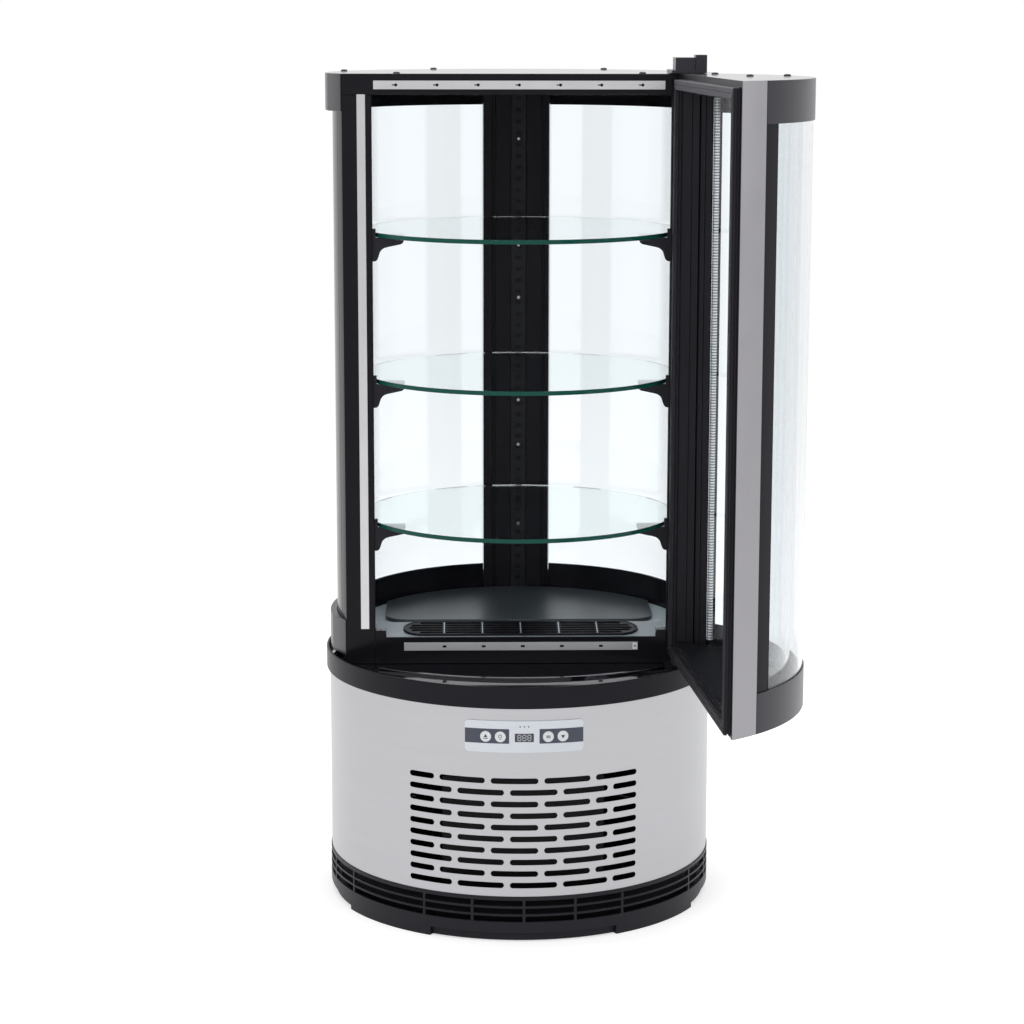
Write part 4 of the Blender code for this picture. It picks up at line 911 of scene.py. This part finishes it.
strips = {
    "topStrip": {"node": "top_strip", "holes": 7, "pitch": 46.2, "shift": -3, "finish": "stripLying"},
    # the sill strip wears a lighter copy of the strip steel, a painted reflection
    "sillStrip": {"node": "sill_strip", "holes": 5, "pitch": 45.5, "shift": 2, "finish": "stripLit"},
    "hole": 1.7, "keyhole": (4.4, 1.2), "slot": (4.6, 2.6),
    "catch": {"ends": (6.2, 0.6), "inset": 1, "proud": 0.15, "deep": 0.5, "hole": (4.6, 2.2, 2.8)},
}


def makeCatch(low, high, level):
    # a small white block at the right end of the sill strip
    catch = strips["catch"]
    left, right = catch["ends"]
    edge = low.y - catch["proud"]
    block = bar(high.x - left, high.x - right, edge, low.y + gap,
                low.z + catch["inset"], high.z - catch["inset"])
    left, right, tall = catch["hole"]
    hole = bar(high.x - left, high.x - right, edge - over, edge + catch["deep"],
               level - tall / 2, level + tall / 2)
    piece("sillCatch", carved(block, hole), "disc", edge=0.2)


def makeStrips():
    dress("strip", "left_strip", "right_strip", edge=0.25)
    for name in ("topStrip", "sillStrip"):
        strip = strips[name]
        low, high = span(strip["node"])
        level = (low.z + high.z) / 2
        bm = bar(low.x, high.x, low.y, high.y, low.z, high.z)
        long, tall = strips["slot"]
        tail, thin = strips["keyhole"]
        bores = []
        slots = []
        for k in range(strip["holes"]):
            x = (k - (strip["holes"] - 1) / 2) * strip["pitch"] + strip["shift"]
            x0, x1, half = x - long / 2, x + long / 2, tall / 2
            if name == "topStrip":
                bores.append(moved(rod(strips["hole"], -over, over, 20), frontwards(x, front, level)))
                x0, x1, half = x - tail, x, thin / 2
            slots.append(bar(x0, x1, front - over, front + over, level - half, level + half))
        bm = carved(bm, together(*slots))
        if bores:
            bm = carved(bm, together(*bores))
        else:
            makeCatch(low, high, level)
        piece(name, bm, strip["finish"], nodes=[strip["node"]], edge=0.2)


makeStrips()
print("strips")

shelf = {"radius": 181.5, "centre": 10, "edge": 0.4, "frontTo": 60}


def frontEdge(face):
    return abs(face.normal.z) < 0.5 and face.center.y < shelf["frontTo"] * mm


def makeShelves():
    for name in ("top", "middle", "bottom"):
        low, high = levels("shelf_" + name)
        disc = slid(rod(shelf["radius"], low, high, 240), y=shelf["centre"])
        piece(name + "Shelf", disc, "shelf", body="shelf_" + name, nodes=["shelf_" + name],
              edge=shelf["edge"], second=("shelfFront", frontEdge))
        dress("moulded", f"left_bracket_{name}", f"right_bracket_{name}", f"rear_bracket_{name}", edge=0.5)
    dress("milky", "lamp", edge=0.8)


makeShelves()
print("shelves and brackets")

door = {
    "radius": 229, "centre": 35.0, "outer": 227.3, "stileInner": 208.3, "back": -84, "stileAngle": 44.2,
    "edgeAngle": 58.43, "handleAngle": 49.7, "handleThick": 1.4, "hinge": (181.0, -88.0), "open": 94.5,
    "trimAngle": 66, "recessAngle": 70, "cap": 43, "board": 20, "pane": 3.8, "paneIn": 0.1, "innerPane": 213.5,
    "nose": 4, "noseFrom": 190, "capNose": 8,
    "spacerInner": 214.2, "spacerOuter": 222.8, "spacerWide": 1.2, "spacerTall": 6, "spacerSplit": 218.2,
    "grooves": ((46.3, 46.6, 0.8), (48.2, 48.9, 2.5), (51.2, 51.5, 0.8)),
    "screws": ((126.9, -113.2), (25, -133), (38, -176)),
    "seal": (-187, 181.5, 301, 960.5), "sealWide": 13,  # left, right, bottom and top of its outline
}
sealSection = [(0, 0), (0, 1.5), (1.7, 2.0), (1.7, 3.0), (0.4, 3.5), (0.4, 5.0), (1.0, 5.4), (0.4, 5.8),
               (0.6, 6.8), (1.6, 7.4), (5.2, 7.4), (5.7, 6.6), (6.3, 6.6), (6.8, 7.4), (10.4, 7.4), (11.4, 6.8),
               (11.6, 3.5), (10.3, 3.0), (10.3, 2.0), (12, 1.5), (12, 0)]


def sealFrame(section, x0, x1, z0, z1):
    # a section of (inwards, outwards) corners carried round a rectangle with mitred corners
    half = 100
    bm = spun([(half - inwards, outwards, half - inwards) for inwards, outwards in section], (0, 1, 0), 4)
    for vert in bm.verts:
        vert.co.x += x1 - half if vert.co.x > 0 else x0 + half
        vert.co.z += z1 - half if vert.co.z > 0 else z0 + half
    return bm


def makeDoor():
    x, y = door["hinge"]
    swing = (Matrix.Translation((x, y, 0)) @ Matrix.Rotation(math.radians(door["open"]), 4, "Z")
             @ Matrix.Translation((-x, -y, 0)))
    centre, outer, stile = door["centre"], door["outer"], door["stileAngle"]
    low, high = levels("door_outer_glass")
    foot, head = levels("door_handle")
    backPoint, backwards = (0, door["back"], 0), (0, 1, 0)

    def doorPiece(name, bm, finish, node, edge=0.0, second=None):
        return piece(name, bm, finish, body="door", nodes=[node] if node else [], edge=edge,
                     matrix=swing, second=second)

    reach, beyond = door["stileInner"], door["trimAngle"]
    free = trimmed(bandRing(reach, outer, low, high, -beyond, -stile, centre), backPoint, backwards)
    doorPiece("doorFreeStile", free, "anodised", "door_free_stile", 0.5)
    hinged = trimmed(bandRing(reach, outer, low, high, stile, beyond, centre), backPoint, backwards)
    rounded(hinged, door["nose"], 4, lambda e: along("z")(e) and e.verts[0].co.x > door["noseFrom"])
    grooves = [bandRing(reach - over, reach + deep, low - over, high + over, a, b, centre)
               for a, b, deep in door["grooves"]]
    hinged = carved(hinged, together(*grooves))
    doorPiece("doorHingeStile", hinged, "anodised", "door_hinge_stile", 0.5)
    radius = door["radius"]
    handle = bandRing(radius - door["handleThick"], radius, foot, head, -door["edgeAngle"],
                      -door["handleAngle"], centre)
    doorPiece("doorHandle", handle, "handle", "door_handle", 0.35)
    for name, node, a, b, pocketLow, pocketHigh in (
            ("doorBottomCap", "door_bottom_cap", foot, foot + door["cap"],
             foot + door["board"], foot + door["cap"] + over),
            ("doorTopCap", "door_top_cap", head - door["cap"], head,
             head - door["cap"] - over, head - door["board"])):
        bm = discBetween(radius, a, b, centre, cuts=[(0, door["back"], 0, 1)])
        rounded(bm, door["capNose"], 5, along("z", 1))
        recess = bandRing(outer, radius + over, a - over, b + over, -door["recessAngle"],
                          door["paneIn"] - door["handleAngle"], centre)
        bm = carved(carved(bm, discBetween(outer + gap, pocketLow, pocketHigh, centre)), recess)
        board = (foot + door["board"] + gap) * mm
        second = ("matt", lambda face: facesUp(face) and face.center.z < board)
        if name == "doorTopCap":
            second = ("roof", facesUp)
        doorPiece(name, bm, "satin", node, 0.6, second)
    for name, node, reach in (("doorOuterGlass", "door_outer_glass", outer),
                              ("doorInnerGlass", "door_inner_glass", door["innerPane"])):
        pane = bandRing(reach - door["pane"], reach, low, high, door["paneIn"] - stile, stile - door["paneIn"],
                        centre, panes["step"])
        doorPiece(name, pane, "glass", node, 0.3)
    near, far, wide, tall = (door[key] for key in ("spacerInner", "spacerOuter", "spacerWide", "spacerTall"))
    split, room = door["spacerSplit"], door["paneIn"]
    ends = (room - stile, wide - stile), (stile - wide, stile - room)
    strip = [bandRing(near, split, low + tall + room, high - tall - room, a, b, centre) for a, b in ends]
    doorPiece("doorSpacerStrip", together(*strip), "spacer", None)
    parts = [bandRing(split + room, far, low, high, a, b, centre) for a, b in ends]
    parts += [bandRing(near, far, a, b, wide - stile, stile - wide, centre)
              for a, b in ((low, low + tall), (high - tall, high))]
    # the rest of the spacer is painted near-black as shade between the panes
    doorPiece("doorPaneSpacer", together(*parts), "paintedShade", None)
    heads = [Matrix.Translation((x, y, head)) for x, y in door["screws"]]
    heads = repeated(screwHead(cap["screwRadius"], cap["screwHeight"]), heads)
    doorPiece("doorScrews", heads, "satin", None)
    seal = slid(sealFrame(sealSection, *door["seal"]), y=door["back"] + gap)
    # the top limb of the seal is painted lighter, as lit from above
    topLimb = (door["seal"][3] - door["sealWide"]) * mm
    doorPiece("doorGasket", seal, "rubber", "door_gasket",
              second=("sealLitTop", lambda face: face.center.z > topLimb))


makeDoor()
print("door")

dress("satin", "hinge_top", "hinge_bottom", edge=0.7)

panel = {
    "face": 226.3, "thick": 1.0, "half": 17.06, "corner": 4, "cornerFrom": 60, "coreDeep": 16, "coreHalf": 14.3,
    "coreSunk": 0.1, "bandNear": 4.3, "bandTop": 9.2, "bandTall": 16.7, "bandInset": 0.05, "bandSunk": 0.2,
    "bandFace": 226.42, "buttonRadius": 6.1, "buttonFace": 227.2, "buttonLength": 7,
    "buttons": {"lamp": -10.98, "defrost": -6.8, "set": 6.8, "power": 11.0}, "buttonLevel": 239.3,
    "lensCorner": 0.8, "mark": 0.12, "digit": (3.6, 6.4, 0.8, 0.1), "digitPitch": 5.6, "dot": 0.8,
    "dots": (-1.2, 0, 1.2), "dotLevel": 251,
}
marks = {
    "lamp": {"radius": 2.6, "lift": 0.4, "foot": (2.6, -2.6, -1.9)},
    "defrost": {"ring": (1.5, 2.1), "lift": 0.6, "foot": (0.9, -3.0, -2.5)},
    "set": {"bars": (-1.8, -0.6, 0.6, 1.8), "half": 0.35, "tall": 1.6},
    "power": {"radius": 2.7},
}


def symbolFor(name):
    # generic marks, flat on the plane z = 0
    deep, mark = panel["mark"], marks[name]
    if name == "power":
        return moved(rod(mark["radius"], 0, deep, 3), Matrix.Rotation(math.pi, 4, "Z"))
    if name == "set":
        half, tall = mark["half"], mark["tall"]
        return together(*[bar(x - half, x + half, -tall, tall, 0, deep) for x in mark["bars"]])
    half, y0, y1 = mark["foot"]
    top = bandRing(*mark["ring"], 0, deep, step=15) if "ring" in mark else rod(mark["radius"], 0, deep, 3)
    return together(slid(top, y=mark["lift"]), bar(-half, half, y0, y1, 0, deep))


def makePanel():
    low, high = levels("control_panel")
    face, half = panel["face"], panel["half"]
    wells = together(*[moved(rod(panel["buttonRadius"] + gap, -over, over, 40),
                             facing(angle, panel["buttonLevel"], face)) for angle in panel["buttons"].values()])
    body = bandRing(face - panel["thick"], face, low, high, -half, half)
    rounded(body, panel["corner"], 5, lambda e: abs(e.verts[0].co.z - e.verts[1].co.z) < 0.01
            and (e.verts[0].co - e.verts[1].co).length < 1.5 and abs(e.verts[0].co.x) > panel["cornerFrom"])
    windowLow, windowHigh = wrap["window"]
    core = bandRing(face - panel["coreDeep"], face - panel["thick"] + panel["coreSunk"],
                    windowLow + gap, windowHigh - gap, -panel["coreHalf"], panel["coreHalf"])
    label = together(carved(body, wells.copy()), core)
    piece("controlLabel", label, "labelPale", nodes=["control_panel"], drum=True)
    bandHigh = high - panel["bandTop"]
    near, far = panel["bandNear"], half - panel["bandInset"]
    bands = [bandRing(face - panel["bandSunk"], panel["bandFace"], bandHigh - panel["bandTall"], bandHigh, a, b)
             for a, b in ((-far, -near), (near, far))]
    piece("controlBands", carved(together(*bands), wells), "labelDark", drum=True)
    for name, angle in panel["buttons"].items():
        turn = facing(angle, panel["buttonLevel"], panel["buttonFace"])
        disc = rod(panel["buttonRadius"], -panel["buttonLength"], 0, 40)
        piece(name + "Button", disc, "disc", body="button_" + name, nodes=["button_" + name],
              edge=0.35, matrix=turn)
        piece(name + "Mark", symbolFor(name), "ink", body="button_" + name, matrix=turn)
    low, high = span("display")
    lens = bar(low.x, high.x, low.y, high.y, low.z, high.z)
    rounded(lens, panel["lensCorner"], 3, along("y"))
    piece("displayLens", lens, "lens", nodes=["display"], edge=0.15)
    parts = []
    wide, tall, thin, deep = panel["digit"]
    level = (low.z + high.z) / 2

    def stroke(x, z, halfX, halfZ):
        parts.append(bar(x - halfX, x + halfX, low.y - deep, low.y + deep, level + z - halfZ, level + z + halfZ))
    for x in (-panel["digitPitch"], 0, panel["digitPitch"]):
        for z in (-tall / 2, 0, tall / 2):
            stroke(x, z, (wide - thin) / 2, thin / 2)
        for side in (-1, 1):
            for z in (-tall / 4, tall / 4):
                stroke(x + side * wide / 2, z, thin / 2, tall / 4 - 0.5)
    piece("displayDigits", together(*parts), "digit")
    dots = [moved(rod(panel["dot"], -panel["bandSunk"], panel["mark"], 16),
                  facing(angle, panel["dotLevel"], face)) for angle in panel["dots"]]
    piece("displayDots", together(*dots), "ink")


makePanel()
print("control panel")


def dressWorks():
    # the base plate is painted dark as the shade it stands in
    dress("zincInShade", "base_plate")
    dress("enamel", "compressor")
    dress("condenserFins", "condenser")
    dress("fan", "condenser_fan", "evaporator_fan")
    dress("coilFins", "evaporator")
    dress("moulded", "power_inlet", edge=0.4)


dressWorks()
print("works")

view = {
    "lens": 95.56, "place": (-0.0791, -3.1595, 1.0288),
    "yaw": -0.02216, "pitch": 0.18023, "roll": 0.00126, "sensor": 36, "far": 200,
}


def makeCamera():
    yaw, pitch, roll = view["yaw"], view["pitch"], view["roll"]
    ahead = Vector((-math.sin(yaw) * math.cos(pitch), math.cos(yaw) * math.cos(pitch), -math.sin(pitch)))
    right = Vector((math.cos(yaw), math.sin(yaw), 0))
    above = right.cross(ahead)
    side = right * math.cos(roll) + above * math.sin(roll)
    top = above * math.cos(roll) - right * math.sin(roll)
    data = bpy.data.cameras.new("camera")
    data.lens = view["lens"]
    data.sensor_width = view["sensor"]
    data.clip_end = view["far"]
    camera = linked("camera", data)
    camera.matrix_world = Matrix.Translation(view["place"]) @ Matrix((side, top, -ahead)).transposed().to_4x4()
    bpy.context.scene.camera = camera


stage = {
    "world": 0.66, "floor": rgb(0.80, 0.80, 0.80), "floorGlow": 0.48, "floorRadius": 60, "aim": (0, 0, 0.5),
    "lamps": {  # place, width, height, watts
        "key": ((-2.2, -2.4, 2.6), 1.8, 1.8, 26),
        "fill": ((2.6, -1.6, 2.0), 1.8, 1.8, 18),
        "top": ((0.0, 0.2, 3.2), 2.4, 2.4, 24),
    },
}


def seen(look):
    # 1 for the camera, for reflections and for what is seen through glass
    rays = look.node("ShaderNodeLightPath").socket.node.outputs
    total = Wire(look, rays["Is Camera Ray"]) + Wire(look, rays["Is Glossy Ray"])
    return total.sum("ADD", total, Wire(look, rays["Is Transmission Ray"]), clamp=True)


def makeStage():
    scene = bpy.context.scene
    world = bpy.data.worlds.new("studio")
    scene.world = world
    look = Look("studio", world)
    strength = seen(look) * (1.0 - stage["world"]) + stage["world"]
    background = look.node("ShaderNodeBackground", None, {"Color": rgb(1, 1, 1), "Strength": strength})
    look.node("ShaderNodeOutputWorld", None, {"Surface": background})
    look = Look("floorPaper")
    paper = look.node("ShaderNodeBsdfDiffuse", None, {"Color": stage["floor"]})
    glow = look.node("ShaderNodeEmission", None, {"Strength": seen(look) * stage["floorGlow"]})
    material = look.finish(look.node("ShaderNodeAddShader", None, {0: paper, 1: glow}))
    bm = bmesh.new()
    bmesh.ops.create_circle(bm, cap_ends=True, radius=stage["floorRadius"], segments=64)
    floor = linked("floor", meshOf("floor", bm))
    floor.data.materials.append(material)
    for name, (place, width, height, watts) in stage["lamps"].items():
        data = bpy.data.lights.new(name, "AREA")
        data.shape = "RECTANGLE"
        data.size = width
        data.size_y = height
        data.energy = watts
        lamp = linked(name, data)
        lamp.location = place
        lamp.rotation_euler = (Vector(stage["aim"]) - Vector(place)).to_track_quat("-Z", "Y").to_euler()
    scene.view_settings.view_transform = "Standard"


makeCamera()
makeStage()
print("camera and studio")
